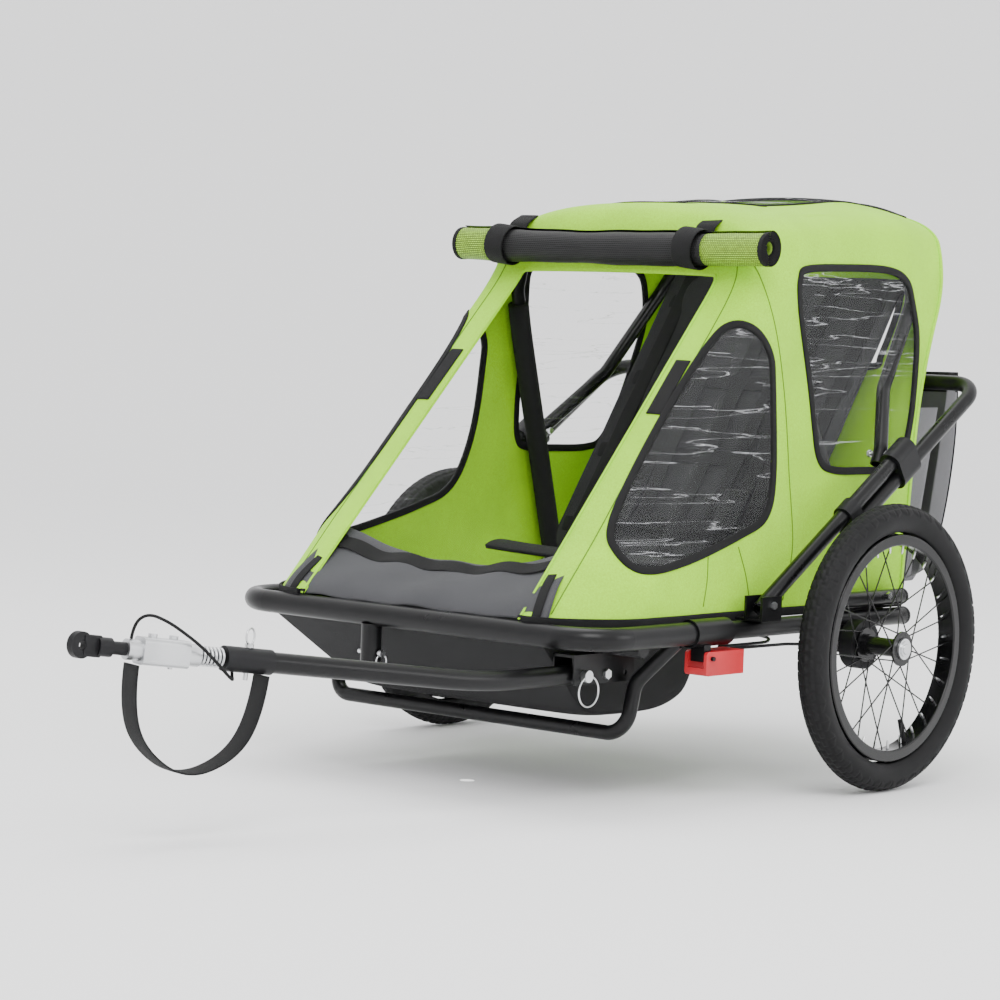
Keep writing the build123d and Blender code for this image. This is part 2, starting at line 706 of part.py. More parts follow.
def cabin_cover():
    """Fabric cover with all its openings."""
    shell = cabin_shell() - window_bars(FRONT_WINDOW) - window_bars(REAR_WINDOW)
    return shell - back_window()


def windows():
    """Clear film in the side and rear openings."""
    skin = cabin_form(-0.8) - cabin_form(-1.6)
    skin -= rod(rear_hoop_route(), 12.0, HOOP_BENDS)
    films = [skin & window_bars(FRONT_WINDOW, -0.3), skin & window_bars(REAR_WINDOW, -0.3)]
    rear = skin & back_window(-0.3)
    return films + [rear & block(-200, 200, 240, 400, 500, 800)]


def roof_cover():
    """Clear rain flap laid over the roof."""
    skin = cabin_form(4.0) - cabin_form(3.0)
    return skin & block(-176, 176, -40, 326, 780, 900)


def mesh_roll():
    """Insect mesh rolled up along the roof's front edge."""
    return x_rod(-279, 279, -146, 742, 21)


def slab(y0, z0, y1, z1, half_width, thickness):
    """A flat panel across the trailer between two edges given in the side view."""
    length = math.hypot(y1 - y0, z1 - z0)
    turn = math.degrees(math.atan2(z1 - z0, y1 - y0))
    middle = Pos(0, (y0 + y1) / 2, (z0 + z1) / 2)
    return middle * Rot(turn, 0, 0) * Box(half_width * 2, length, thickness)


SEAT_BACK = (-2, 282, 288, 708)


def seat():
    """Sling seat: pan and reclined back."""
    pan = slab(-162, 302, 3, 283, 196, 6)
    return pan + slab(*SEAT_BACK, 214, 6)


def on_seat_back(fraction, lift):
    """Side-view point at a fraction of the seat back's height, lifted off its face."""
    y0, z0, y1, z1 = SEAT_BACK
    turn = math.atan2(z1 - z0, y1 - y0)
    y = y0 + (y1 - y0) * fraction - lift * math.sin(turn)
    z = z0 + (z1 - z0) * fraction + lift * math.cos(turn)
    return y, z


def harness():
    """Two child harnesses: shoulder straps, a lap strap and a buckle each."""
    pieces = []
    low = on_seat_back(0.14, 5.5)
    high = on_seat_back(0.62, 5.5)
    for centre in (-98, 98):
        for side in (-42, 42):
            strap = slab(*low, *high, 12.5, 2)
            pieces.append(Pos(centre + side, 0, 0) * strap)
        pieces.append(Pos(centre, 0, 0) * slab(*on_seat_back(0.07, 5.5), *on_seat_back(0.13, 5.5), 75, 2))
        pieces.append(Pos(centre, 0, 0) * slab(*on_seat_back(0.22, 8), *on_seat_back(0.33, 8), 24, 9))
    return pieces


def footwell():
    """Foot tub below the floor and the panel in front of it."""
    outer = [(-426, 245), (-420, 128), (-392, 112), (-240, 106), (-176, 150), (-168, 245)]
    inner = [(-422, 250), (-416, 131), (-390, 116), (-242, 110), (-179, 152), (-172, 250)]
    tub = extrude(Plane.YZ * make_face(Polyline(*outer, close=True)), 208, both=True)
    tub -= extrude(Plane.YZ * make_face(Polyline(*inner, close=True)), 205, both=True)
    panel = slab(-532, 262, -452, 312, 200, 4)
    return [tub, panel]


def storage_bag():
    """Bag behind the cabin, open at the top."""
    outer = [(184, 262), (345, 288), (372, 370), (392, 460), (390, 560), (262, 530), (259, 509)]
    inner = [(190, 266), (343, 291), (369, 371), (389, 460), (387, 590), (265, 560), (262, 508)]
    bag = extrude(Plane.YZ * make_face(Polyline(*outer, close=True)), 250, both=True)
    return bag - extrude(Plane.YZ * make_face(Polyline(*inner, close=True)), 247, both=True)


# ---------------------------------------------------------------- write the nodes

os.makedirs("parts", exist_ok=True)

left_side = side_frame()
left_stay = stay()
upper_clamp = clamp(340, 386, TUBE_RADIUS + 0.05, TUBE_RADIUS + RUNNING, 16.5)
slider = clamp(209, 235, TUBE_RADIUS + RUNNING, TUBE_RADIUS + 0.05, 15)
foot_bracket = rail_bracket()

save("front_bar", front_bar() + pedal_hanger())
save("side_frame_left", left_side)
save("side_frame_right", mirrored(left_side))
save("tube_plugs", *tube_plugs())
save("cross_tubes", *cross_tubes())
save("skid_loop", skid_loop())
save("rail_brackets", foot_bracket, mirrored(foot_bracket))
save("stays", left_stay, mirrored(left_stay))
save("upper_clamps", upper_clamp, mirrored(upper_clamp))
save("handle_sliders", slider, mirrored(slider))
save("push_handle", push_handle())
save("rear_hoop", rear_hoop())
save("front_hoop", front_hoop())
save("frame_bolts", *frame_bolts())

for side, place in (("left", lambda shape: shape), ("right", mirrored)):
    save(f"tyre_{side}", place(tyre()))
    save(f"inner_tube_{side}", place(inner_tube()))
    save(f"rim_{side}", place(rim()))
    save(f"spokes_{side}", *[place(bar) for bar in spokes()])
    save(f"hub_{side}", place(hub()))
    save(f"hub_bearings_{side}", *[place(ring) for ring in hub_bearings()])
    save(f"brake_star_{side}", place(brake_star()))
    save(f"wheel_axle_{side}", place(wheel_axle()))
    save(f"release_button_{side}", place(release_button()))
    save(f"brake_pawl_{side}", place(brake_pawl()))

save("brake_pedal", brake_pedal())
save("brake_cables", *brake_cables())

save("tow_bracket", tow_bracket())
save("tow_pivot_bolt", tow_pivot_bolt())
save("tow_lock_pin", tow_lock_pin())
save("tow_arm", tow_arm() - linch_rod(-30, 30, 3 + RUNNING))
save("arm_sleeve", arm_sleeve())
save("linch_pin", linch_pin())
save("hitch_spring", *hitch_spring())
save("hitch_core", hitch_core())
save("hitch_housing", hitch_housing())
save("hitch_bolts", *hitch_bolts())
save("hitch_shaft", hitch_shaft())
save("axle_eye", axle_eye())
save("safety_strap", safety_strap())
save("lanyard", lanyard())
save("front_wheel_socket", front_wheel_socket())
save("socket_pin", socket_pin())

save("cabin_cover", cabin_cover())
save("windows", *windows())
save("roof_cover", roof_cover())
save("mesh_roll", mesh_roll())
save("seat", seat())
save("harness", *harness())
save("footwell", *footwell())
save("storage_bag", storage_bag())
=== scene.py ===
import json
import math
import bmesh
import bpy
import numpy as np
from mathutils import Matrix
from mathutils.bvhtree import BVHTree


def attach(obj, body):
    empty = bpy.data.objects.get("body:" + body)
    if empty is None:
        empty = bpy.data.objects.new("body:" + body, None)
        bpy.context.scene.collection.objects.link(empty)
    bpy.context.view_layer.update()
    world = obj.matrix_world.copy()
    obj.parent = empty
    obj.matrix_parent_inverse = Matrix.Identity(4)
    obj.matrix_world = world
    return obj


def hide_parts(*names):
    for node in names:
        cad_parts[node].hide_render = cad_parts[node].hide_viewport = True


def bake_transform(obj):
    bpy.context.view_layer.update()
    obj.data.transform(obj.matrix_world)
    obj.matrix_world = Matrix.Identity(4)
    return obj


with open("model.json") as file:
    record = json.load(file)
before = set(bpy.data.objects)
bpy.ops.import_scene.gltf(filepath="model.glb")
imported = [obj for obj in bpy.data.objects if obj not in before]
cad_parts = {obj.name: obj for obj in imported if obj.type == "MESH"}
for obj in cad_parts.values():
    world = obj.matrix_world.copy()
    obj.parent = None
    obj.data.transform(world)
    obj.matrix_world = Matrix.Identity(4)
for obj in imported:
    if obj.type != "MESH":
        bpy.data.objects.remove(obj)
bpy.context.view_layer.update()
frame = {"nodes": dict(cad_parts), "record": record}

# ---------------------------------------------------------------- camera
# A long lens seen from the front left, a little above the roof.
AXLE_Y = 0.4115


def place(points):
    """Millimetres from the axle's foot to metres in the row frame."""
    return np.asarray(points, float) / 1000 + np.array([0, AXLE_Y, 0])


def aim_camera(spot, azimuth, elevation, roll, lens):
    """A camera at spot, turned by azimuth and elevation, then rolled about its own axis."""
    a, e, r = (math.radians(x) for x in (azimuth, elevation, roll))
    back = np.array([math.sin(a) * math.cos(e), -math.cos(a) * math.cos(e), math.sin(e)])
    right = np.array([math.cos(a), math.sin(a), 0])
    up = np.cross(back, right)
    side = right * math.cos(r) + up * math.sin(r)
    top = up * math.cos(r) - right * math.sin(r)
    data = bpy.data.cameras.new("camera")
    data.lens = lens
    data.sensor_width = 36
    data.clip_end = 60
    camera = bpy.data.objects.new("camera", data)
    bpy.context.scene.collection.objects.link(camera)
    turned = np.eye(4)
    turned[:3, :4] = np.stack([side, top, back, spot], 1)
    camera.matrix_world = Matrix(turned.tolist())
    bpy.context.scene.camera = camera


aim_camera(place([2884, -3684, 656]), 40.983, 3.531, 2.123, 115.24)


# ---------------------------------------------------------------- webbing finish
# Woven black polyester webbing. The weave is drawn in metres on the piece's own cloth map.
def shade_group(name, inputs, outputs):
    """An empty node group with named value inputs and outputs."""
    group = bpy.data.node_groups.new(name, "ShaderNodeTree")
    for label, kind, value in inputs:
        socket = group.interface.new_socket(label, in_out="INPUT", socket_type=kind)
        socket.default_value = value
    for label, kind in outputs:
        group.interface.new_socket(label, in_out="OUTPUT", socket_type=kind)
    return group, group.nodes.new("NodeGroupInput"), group.nodes.new("NodeGroupOutput")


def math_node(tree, operation, first, second=None, third=None):
    """One arithmetic node; numbers are typed in and sockets are linked."""
    node = tree.nodes.new("ShaderNodeMath")
    node.operation = operation
    for socket, value in zip(node.inputs, (first, second, third)):
        if isinstance(value, (int, float)):
            socket.default_value = value
        elif value is not None:
            tree.links.new(value, socket)
    return node.outputs[0]


def weave_group():
    """Plain weave: product of two sine waves along and across the cloth, with slow soft creases."""
    group, source, result = shade_group(
        "plain_weave",
        [("Threads", "NodeSocketFloat", 900.0), ("Depth", "NodeSocketFloat", 0.0002),
         ("Creases", "NodeSocketFloat", 0.001)],
        [("Shade", "NodeSocketFloat"), ("Normal", "NodeSocketVector")])
    cloth = group.nodes.new("ShaderNodeUVMap")
    cloth.uv_map = "cloth"
    split = group.nodes.new("ShaderNodeSeparateXYZ")
    group.links.new(cloth.outputs[0], split.inputs[0])
    turn = math_node(group, "MULTIPLY", source.outputs["Threads"], 2 * math.pi)
    along = math_node(group, "SINE", math_node(group, "MULTIPLY", split.outputs[0], turn))
    across = math_node(group, "SINE", math_node(group, "MULTIPLY", split.outputs[1], turn))
    weave = math_node(group, "MULTIPLY", along, across)
    position = group.nodes.new("ShaderNodeTexCoord").outputs["Object"]
    noise = group.nodes.new("ShaderNodeTexNoise")
    noise.inputs["Scale"].default_value = 9
    noise.inputs["Detail"].default_value = 4
    noise.inputs["Distortion"].default_value = 0.6
    group.links.new(position, noise.inputs["Vector"])
    fleck = group.nodes.new("ShaderNodeTexNoise")
    fleck.inputs["Scale"].default_value = 420
    fleck.inputs["Detail"].default_value = 2
    group.links.new(position, fleck.inputs["Vector"])
    threads = math_node(group, "MULTIPLY", weave, source.outputs["Depth"])
    folds = math_node(group, "MULTIPLY", noise.outputs[0], source.outputs["Creases"])
    bump = group.nodes.new("ShaderNodeBump")
    bump.inputs["Distance"].default_value = 1.0
    group.links.new(math_node(group, "ADD", threads, folds), bump.inputs["Height"])
    group.links.new(bump.outputs[0], result.inputs["Normal"])
    mixed = math_node(group, "MULTIPLY_ADD", weave, 0.06, math_node(group, "MULTIPLY", fleck.outputs[0], 0.5))
    group.links.new(math_node(group, "ADD", mixed, math_node(group, "MULTIPLY", noise.outputs[0], 0.4)),
                    result.inputs["Shade"])
    return group


WEAVE = weave_group()


def new_finish(name, colour, roughness, metallic=0.0, **constants):
    """A Principled material with plain constants on its own sockets."""
    finish = bpy.data.materials.new(name)
    finish.use_nodes = True
    shader = finish.node_tree.nodes["Principled BSDF"]
    shader.inputs["Base Color"].default_value = (*colour, 1)
    shader.inputs["Roughness"].default_value = roughness
    shader.inputs["Metallic"].default_value = metallic
    for label, value in constants.items():
        shader.inputs[label.replace("_", " ")].default_value = value
    return finish


def tint(finish, shade, dark, light, low=0.3, high=0.7):
    """Base colour runs from dark to light as shade goes from low to high."""
    tree = finish.node_tree
    ramp = tree.nodes.new("ShaderNodeValToRGB")
    ramp.color_ramp.elements[0].position = low
    ramp.color_ramp.elements[1].position = high
    ramp.color_ramp.elements[0].color = (*dark, 1)
    ramp.color_ramp.elements[1].color = (*light, 1)
    tree.links.new(shade, ramp.inputs[0])
    tree.links.new(ramp.outputs[0], tree.nodes["Principled BSDF"].inputs["Base Color"])


def cloth_finish(name, colour, threads=900.0, depth=0.0002, creases=0.001, roughness=0.8, sheen=0.04):
    """Woven cloth with the shared weave group."""
    finish = new_finish(name, colour, roughness, Sheen_Weight=sheen, Specular_IOR_Level=0.3)
    tree = finish.node_tree
    weave = tree.nodes.new("ShaderNodeGroup")
    weave.node_tree = WEAVE
    weave.inputs["Threads"].default_value = threads
    weave.inputs["Depth"].default_value = depth
    weave.inputs["Creases"].default_value = creases
    tree.links.new(weave.outputs["Normal"], tree.nodes["Principled BSDF"].inputs["Normal"])
    dark = [c * 0.8 for c in colour]
    light = [min(1.0, c * 1.15) for c in colour]
    tint(finish, weave.outputs["Shade"], dark, light)
    return finish


WEBBING = cloth_finish("black_webbing", (0.004, 0.004, 0.0045), 450, 0.0004, 0.0004, 0.8, 0.01)


# ---------------------------------------------------------------- safety strap
# Wide ribbed webbing from the hitch housing down in a loop and back to the tow arm.
HITCH_EYE = np.array([85.0, -1199, 240])
ARM_BEND = np.array([232.0, -652, 175.5])
hitch_way = (ARM_BEND - HITCH_EYE) / np.linalg.norm(ARM_BEND - HITCH_EYE)
hitch_across = np.cross(hitch_way, [0, 0, -1])
hitch_across /= np.linalg.norm(hitch_across)
hitch_up = np.cross(hitch_way, hitch_across)
hitch_up *= np.sign(hitch_up[2])
hitch_across *= np.sign(hitch_across[0])


def hitch_point(distance, side=0.0, rise=0.0):
    """Row-frame point at a distance along the hitch from its eye."""
    return place(HITCH_EYE + hitch_way * distance + hitch_across * side + hitch_up * rise)


def quads(rows, columns, wrap_rows=False, wrap_columns=False):
    """Corner numbers of every cell of a grid of points, row by row."""
    r, c = np.meshgrid(np.arange(rows - (not wrap_rows)), np.arange(columns - (not wrap_columns)),
                       indexing="ij")
    r2, c2 = (r + 1) % rows, (c + 1) % columns
    return np.stack([r * columns + c, r * columns + c2, r2 * columns + c2, r2 * columns + c],
                    -1).reshape(-1, 4)


def link_piece(name, mesh, finish, body):
    """Show a mesh as a piece that rides on a body and has one finish."""
    mesh.materials.append(finish)
    piece = bpy.data.objects.new(name, mesh)
    bpy.context.scene.collection.objects.link(piece)
    if body:
        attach(piece, body)
    return piece


def make_mesh(name, points, faces, uv=None, tidy=False):
    """A smooth mesh from points and faces; uv is the place of each point on the cut cloth, in metres."""
    mesh = bpy.data.meshes.new(name)
    mesh.from_pydata(np.asarray(points).reshape(-1, 3).tolist(), [], [list(map(int, f)) for f in faces])
    mesh.polygons.foreach_set("use_smooth", np.ones(len(mesh.polygons), bool))
    if uv is not None:
        corners = np.zeros(len(mesh.loops), int)
        mesh.loops.foreach_get("vertex_index", corners)
        layer = mesh.uv_layers.new(name="cloth")
        layer.data.foreach_set("uv", np.asarray(uv).reshape(-1, 2)[corners].ravel())
    if tidy:
        work = bmesh.new()
        work.from_mesh(mesh)
        bmesh.ops.recalc_face_normals(work, faces=work.faces)
        work.to_mesh(mesh)
        work.free()
    return mesh


def unit(vectors):
    """Each vector scaled to length 1."""
    return vectors / np.maximum(np.linalg.norm(vectors, axis=-1, keepdims=True), 1e-12)


def run_of(path):
    """Distance along a path to each of its points."""
    return np.concatenate([[0], np.cumsum(np.linalg.norm(np.diff(path, axis=0), axis=1))])


BAND_SECTION = np.array([(-0.5, 0.25), (-0.5, 0.75), (-0.46, 1), (-0.2, 1.08), (0.2, 1.08), (0.46, 1),
                         (0.5, 0.75), (0.5, 0.25), (0.46, 0), (-0.46, 0)])


def carry(path, facing, section, closed=False):
    """A closed section carried along a path: its first axis lies across, its second along facing."""
    ahead = np.roll(path, -1, 0) - np.roll(path, 1, 0) if closed else np.gradient(path, axis=0)
    ahead = unit(ahead)
    across = unit(np.cross(ahead, facing))
    up = unit(np.cross(across, ahead))
    return path[:, None] + across[:, None] * section[:, :1] + up[:, None] * section[:, 1:]


def band_mesh(name, path, facing, width, thickness, closed=False, section=BAND_SECTION):
    """A flat strip along a path, with rounded edges and closed ends."""
    path = np.asarray(path, float)
    facing = np.broadcast_to(np.asarray(facing, float), path.shape)
    shape = section * [width, thickness]
    points = carry(path, facing, shape, closed)
    rows, columns = points.shape[:2]
    faces = list(quads(rows, columns, closed, True))
    if not closed:
        faces += [list(range(columns))[::-1], [(rows - 1) * columns + k for k in range(columns)]]
    girth = np.concatenate([[0], np.cumsum(np.linalg.norm(np.diff(shape, axis=0), axis=1))])
    uv = np.stack(np.broadcast_arrays(run_of(path)[:, None], girth[None]), -1)
    return make_mesh(name, points, faces, uv, tidy=True)


def band(name, path, facing, width, thickness, finish, body, closed=False):
    """A strip of webbing, binding or tape as a piece."""
    return link_piece(name, band_mesh(name, path, facing, width, thickness, closed), finish, body)


def cord_line(name, route, thickness=0.0):
    """The smooth NURBS line that a cord's route gives; a bevel makes it a round cord."""
    data = bpy.data.curves.new(name, "CURVE")
    data.dimensions = "3D"
    data.resolution_u = 12
    data.bevel_depth = thickness / 2
    data.bevel_resolution = 4
    spline = data.splines.new("NURBS")
    spline.points.add(len(route) - 1)
    for point, spot in zip(spline.points, route):
        point.co = (*spot, 1)
    spline.order_u = 3
    spline.use_endpoint_u = True
    line = bpy.data.objects.new(name, data)
    bpy.context.scene.collection.objects.link(line)
    return line


def line_points(route):
    """Points along the smooth line of a route."""
    line = cord_line("route", route)
    bpy.context.view_layer.update()
    mesh = bpy.data.meshes.new_from_object(line.evaluated_get(bpy.context.evaluated_depsgraph_get()))
    points = np.array([v.co for v in mesh.vertices])
    bpy.data.objects.remove(line)
    bpy.data.meshes.remove(mesh)
    return points


STRAP_WIDTH = 0.038
STRAP_THICKNESS = 0.0024
strap_route = [hitch_point(72, 0, -16.8), hitch_point(72, 0, -62), hitch_point(94, 0, -114),
               hitch_point(155, 0, -147), hitch_point(218, 0, -118), hitch_point(245, 0, -66),
               hitch_point(247, 0, -15.8)]
strap_path = line_points(strap_route)
strap_ahead = unit(np.gradient(strap_path, axis=0))
strap_facing = np.cross(strap_ahead, hitch_across)
strap_mesh = band_mesh("safety_strap_webbing", strap_path, strap_facing, STRAP_WIDTH, STRAP_THICKNESS)
safety_strap = link_piece("safety_strap_webbing", strap_mesh, WEBBING, None)
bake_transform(safety_strap)
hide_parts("safety_strap")

# ---------------------------------------------------------------- lanyard
# Thin round cord that keeps the linch pin on the trailer when it is pulled out.
LANYARD_THICKNESS = 0.004
lanyard_route = [hitch_point(66, 0, 12.8), hitch_point(66, 2, 32), hitch_point(80, 8, 45),
                 hitch_point(104, 14, 38), hitch_point(126, 20, 26), hitch_point(150, 22, 12),
                 hitch_point(172, 21, -4), hitch_point(190, 19, -18), hitch_point(204, 10, -25),
                 hitch_point(208, 0, -22), hitch_point(209, -4, -15)]
lanyard = cord_line("lanyard_cord", lanyard_route, LANYARD_THICKNESS)
lanyard.data.materials.append(WEBBING)
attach(lanyard, "tow_arm")
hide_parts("lanyard")

# ---------------------------------------------------------------- floor and lights
# A plain pale floor that curves up far away on every side, under a bright even sky and
# three broad soft lamps.
reach = np.array([0.01, 2, 4, 6, 7, 8.5, 10, 11.5, 12.5, 13])[:, None]
climb = np.array([0, 0, 0, 0, 0.05, 0.5, 1.5, 3.4, 6, 9])[:, None]
bearing = np.linspace(0, 2 * math.pi, 96, endpoint=False)[None]
bowl = np.stack(np.broadcast_arrays(reach * np.cos(bearing), reach * np.sin(bearing), climb), -1)
floor_mesh = make_mesh("floor", bowl, quads(10, 96, False, True)[:, ::-1])
floor_mesh.materials.append(new_finish("floor", (0.93, 0.93, 0.935), 0.95, Specular_IOR_Level=0.1))
floor = bpy.data.objects.new("floor", floor_mesh)
bpy.context.scene.collection.objects.link(floor)

world = bpy.data.worlds.new("studio")
world.use_nodes = True
world.node_tree.nodes["Background"].inputs[0].default_value = (1, 1, 1, 1)
world.node_tree.nodes["Background"].inputs[1].default_value = 1.75
bpy.context.scene.world = world


def lamp(name, spot, target, size, power):
    """A square area lamp at spot, turned to target."""
    data = bpy.data.lights.new(name, "AREA")
    data.size = size
    data.energy = power
    light = bpy.data.objects.new(name, data)
    bpy.context.scene.collection.objects.link(light)
    back = unit(np.array(spot, float) - np.array(target, float))
    side = unit(np.cross([0, 0, 1], back))
    turned = np.eye(4)
    turned[:3, :4] = np.stack([side, np.cross(back, side), back, spot], 1)
    light.matrix_world = Matrix(turned.tolist())


lamp("key_lamp", (2.4, -2.2, 3.4), (0, 0.3, 0.4), 2.2, 110)
lamp("side_lamp", (3.6, 1.6, 1.6), (0, 0.3, 0.4), 1.6, 35)
lamp("top_lamp", (-0.6, 0.4, 3.2), (0, 0.4, 0.5), 2.0, 40)


# ---------------------------------------------------------------- painted and plated metal
# Satin powder coat with a faint orange peel; bright zinc; die-cast alloy with a cast skin.
def grain_group():
    """Fine grain and slow patches of a hard surface, in object space."""
    group, source, result = shade_group(
        "surface_grain",
        [("Scale", "NodeSocketFloat", 500.0), ("Depth", "NodeSocketFloat", 0.0001)],
        [("Shade", "NodeSocketFloat"), ("Patches", "NodeSocketFloat"), ("Normal", "NodeSocketVector")])
    position = group.nodes.new("ShaderNodeTexCoord").outputs["Object"]
    fine = group.nodes.new("ShaderNodeTexNoise")
    fine.inputs["Detail"].default_value = 3
    group.links.new(position, fine.inputs["Vector"])
    group.links.new(source.outputs["Scale"], fine.inputs["Scale"])
    slow = group.nodes.new("ShaderNodeTexNoise")
    slow.inputs["Scale"].default_value = 14
    slow.inputs["Detail"].default_value = 5
    group.links.new(position, slow.inputs["Vector"])
    bump = group.nodes.new("ShaderNodeBump")
    bump.inputs["Distance"].default_value = 1.0
    height = math_node(group, "MULTIPLY", fine.outputs[0], source.outputs["Depth"])
    group.links.new(height, bump.inputs["Height"])
    group.links.new(bump.outputs[0], result.inputs["Normal"])
    group.links.new(fine.outputs[0], result.inputs["Shade"])
    group.links.new(slow.outputs[0], result.inputs["Patches"])
    return group


GRAIN = grain_group()


def hard_finish(name, colour, rough_low, rough_high, metallic=0.0, scale=500.0, depth=0.0001, **constants):
    """Hard surface: grain in the normal, patches in the roughness and a little in the colour."""
    finish = new_finish(name, colour, rough_low, metallic, **constants)
    tree = finish.node_tree
    grain = tree.nodes.new("ShaderNodeGroup")
    grain.node_tree = GRAIN
    grain.inputs["Scale"].default_value = scale
    grain.inputs["Depth"].default_value = depth
    shader = tree.nodes["Principled BSDF"]
    tree.links.new(grain.outputs["Normal"], shader.inputs["Normal"])
    spread = tree.nodes.new("ShaderNodeMapRange")
    spread.inputs["From Min"].default_value = 0.3
    spread.inputs["From Max"].default_value = 0.7
    spread.inputs["To Min"].default_value = rough_low
    spread.inputs["To Max"].default_value = rough_high
    tree.links.new(grain.outputs["Patches"], spread.inputs["Value"])
    tree.links.new(spread.outputs[0], shader.inputs["Roughness"])
    tint(finish, grain.outputs["Patches"], [c * 0.85 for c in colour], [min(1, c * 1.15) for c in colour])
    return finish


POWDER_COAT = hard_finish("powder_coat", (0.004, 0.004, 0.0045), 0.26, 0.36, scale=380, depth=0.00006,
                          Specular_IOR_Level=0.22, Coat_Weight=0.06, Coat_Roughness=0.15)
ZINC = hard_finish("zinc_plate", (0.66, 0.67, 0.68), 0.22, 0.38, 1.0, 700, 0.00005)
DIE_CAST = hard_finish("die_cast_alloy", (0.58, 0.59, 0.60), 0.32, 0.5, 1.0, 300, 0.00025)
BLACK_PLASTIC = hard_finish("black_plastic", (0.005, 0.005, 0.006), 0.42, 0.55, scale=900, depth=0.00008,
                            Specular_IOR_Level=0.25)
RED_PLASTIC = hard_finish("red_plastic", (0.52, 0.015, 0.022), 0.38, 0.5, scale=900, depth=0.00008)
RUBBER = hard_finish("rubber", (0.006, 0.006, 0.0065), 0.6, 0.75, scale=700, depth=0.0001,
                     Specular_IOR_Level=0.2)
GLOSS_BLACK = hard_finish("gloss_black", (0.004, 0.004, 0.0045), 0.16, 0.26, scale=300, depth=0.00003,
                          Specular_IOR_Level=0.3, Coat_Weight=0.1, Coat_Roughness=0.1)
CAD_FINISHES = {"black_frame": POWDER_COAT, "zinc": ZINC, "spring_steel": ZINC, "die_cast": DIE_CAST,
                "black_plastic": BLACK_PLASTIC, "red_plastic": RED_PLASTIC, "rubber_core": RUBBER,
                "tyre": RUBBER, "butyl": RUBBER, "rim_black": GLOSS_BLACK, "spoke_black": GLOSS_BLACK,
                "bearing_steel": ZINC, "black_shaft": BLACK_PLASTIC, "black_webbing": WEBBING}
for part in frame["record"]["subparts"]:
    if part["material_slot"] in CAD_FINISHES:
        node = frame["nodes"][part["node"]]
        node.data.materials.clear()
        node.data.materials.append(CAD_FINISHES[part["material_slot"]])


# ---------------------------------------------------------------- cabin cover
# Sewn shell of coated lime polyester over two hoops. Its walls, shoulders and roof are one
# tensioned surface; the doorway, windows and roof opening are cut out of it and bound in black.
LIME = cloth_finish("lime_polyester", (0.40, 0.86, 0.002), 1100, 0.00012, 0.0035, 0.62, 0.05)


def spline_weights(controls, samples):
    """Clamped quadratic B-spline weights: how much each control point counts at each sample."""
    knots = np.concatenate([[0, 0], np.linspace(0, 1, controls - 1), [1, 1]])
    t = np.linspace(0, 1, samples)[:, None]
    t[-1] -= 1e-9
    weights = ((knots[:-1] <= t) & (t < knots[1:])).astype(float)
    for d in (1, 2):
        rise = knots[d:-1] - knots[:-d - 1]
        fall = knots[d + 1:] - knots[1:-d]
        left = (t - knots[:-d - 1]) / np.where(rise > 0, rise, np.inf)
        right = (knots[d + 1:] - t) / np.where(fall > 0, fall, np.inf)
        weights = left * weights[:, :-1] + right * weights[:, 1:]
    return weights


def loft(net, rows, columns):
    """Quadratic B-spline surface over a net of control points, as a grid."""
    net = np.asarray(net, float)
    return np.einsum("ri,cj,ijk->rck", spline_weights(net.shape[0], rows),
                     spline_weights(net.shape[1], columns), net)


def cloth_map(grid):
    """Place of each grid point on the flat cloth: mean run along rows and along columns."""
    down = np.linalg.norm(np.diff(grid, axis=0), axis=-1).mean(1)
    along = np.linalg.norm(np.diff(grid, axis=1), axis=-1).mean(0)
    v = np.concatenate([[0], np.cumsum(down)])
    u = np.concatenate([[0], np.cumsum(along)])
    return np.stack(np.broadcast_arrays(u[None], v[:, None]), -1)


def smooth_line(points, each=10, closed=False):
    """Catmull-Rom curve through the points, as each samples per span."""
    p = np.asarray(points, float)
    if closed:
        before, start, end, after = (np.roll(p, k, 0) for k in (1, 0, -1, -2))
    else:
        padded = np.concatenate([2 * p[:1] - p[1:2], p, 2 * p[-1:] - p[-2:-1]])
        before, start, end, after = padded[:-3], padded[1:-2], padded[2:-1], padded[3:]
    t = np.linspace(0, 1, each, endpoint=False)[:, None, None]
    curve = 0.5 * (2 * start + (end - before) * t + (2 * before - 5 * start + 4 * end - after) * t**2
                   + (3 * start - before - 3 * end + after) * t**3)
    curve = curve.transpose(1, 0, 2).reshape(-1, p.shape[1])
    return curve if closed else np.concatenate([curve, p[-1:]])


def wall_x(z):
    """Half width of the side wall at a height, leaning in to the roof."""
    return 311 - (z - 248) / 452 * 63


def rear_y(z):
    """The rear wall's place at a height, leaning back to the roof."""
    return np.interp(z, [248, 509, 595, 690, 745], [165, 242, 278, 332, 338])


def wall_row(z):
    """Control points of the side wall at one height, from the doorway's edge to the rear edge."""
    f = (z - 249) / 445
    wall = wall_x(z)
    door = (194 - 18 * f, -543 + 411 * f, z)
    corner = (242 - 14 * f, -548 + 414 * f, z)
    chamfer = (311 - 63 * f, -458 + 338 * f, z)
    rear = rear_y(z)
    middle = (chamfer[1] + rear) / 2
    return [door, corner, chamfer, (wall + 1, chamfer[1] + 75, z), (wall - 3, middle, z),
            (wall + 1, rear - 70, z), (wall - 3, rear, z)]


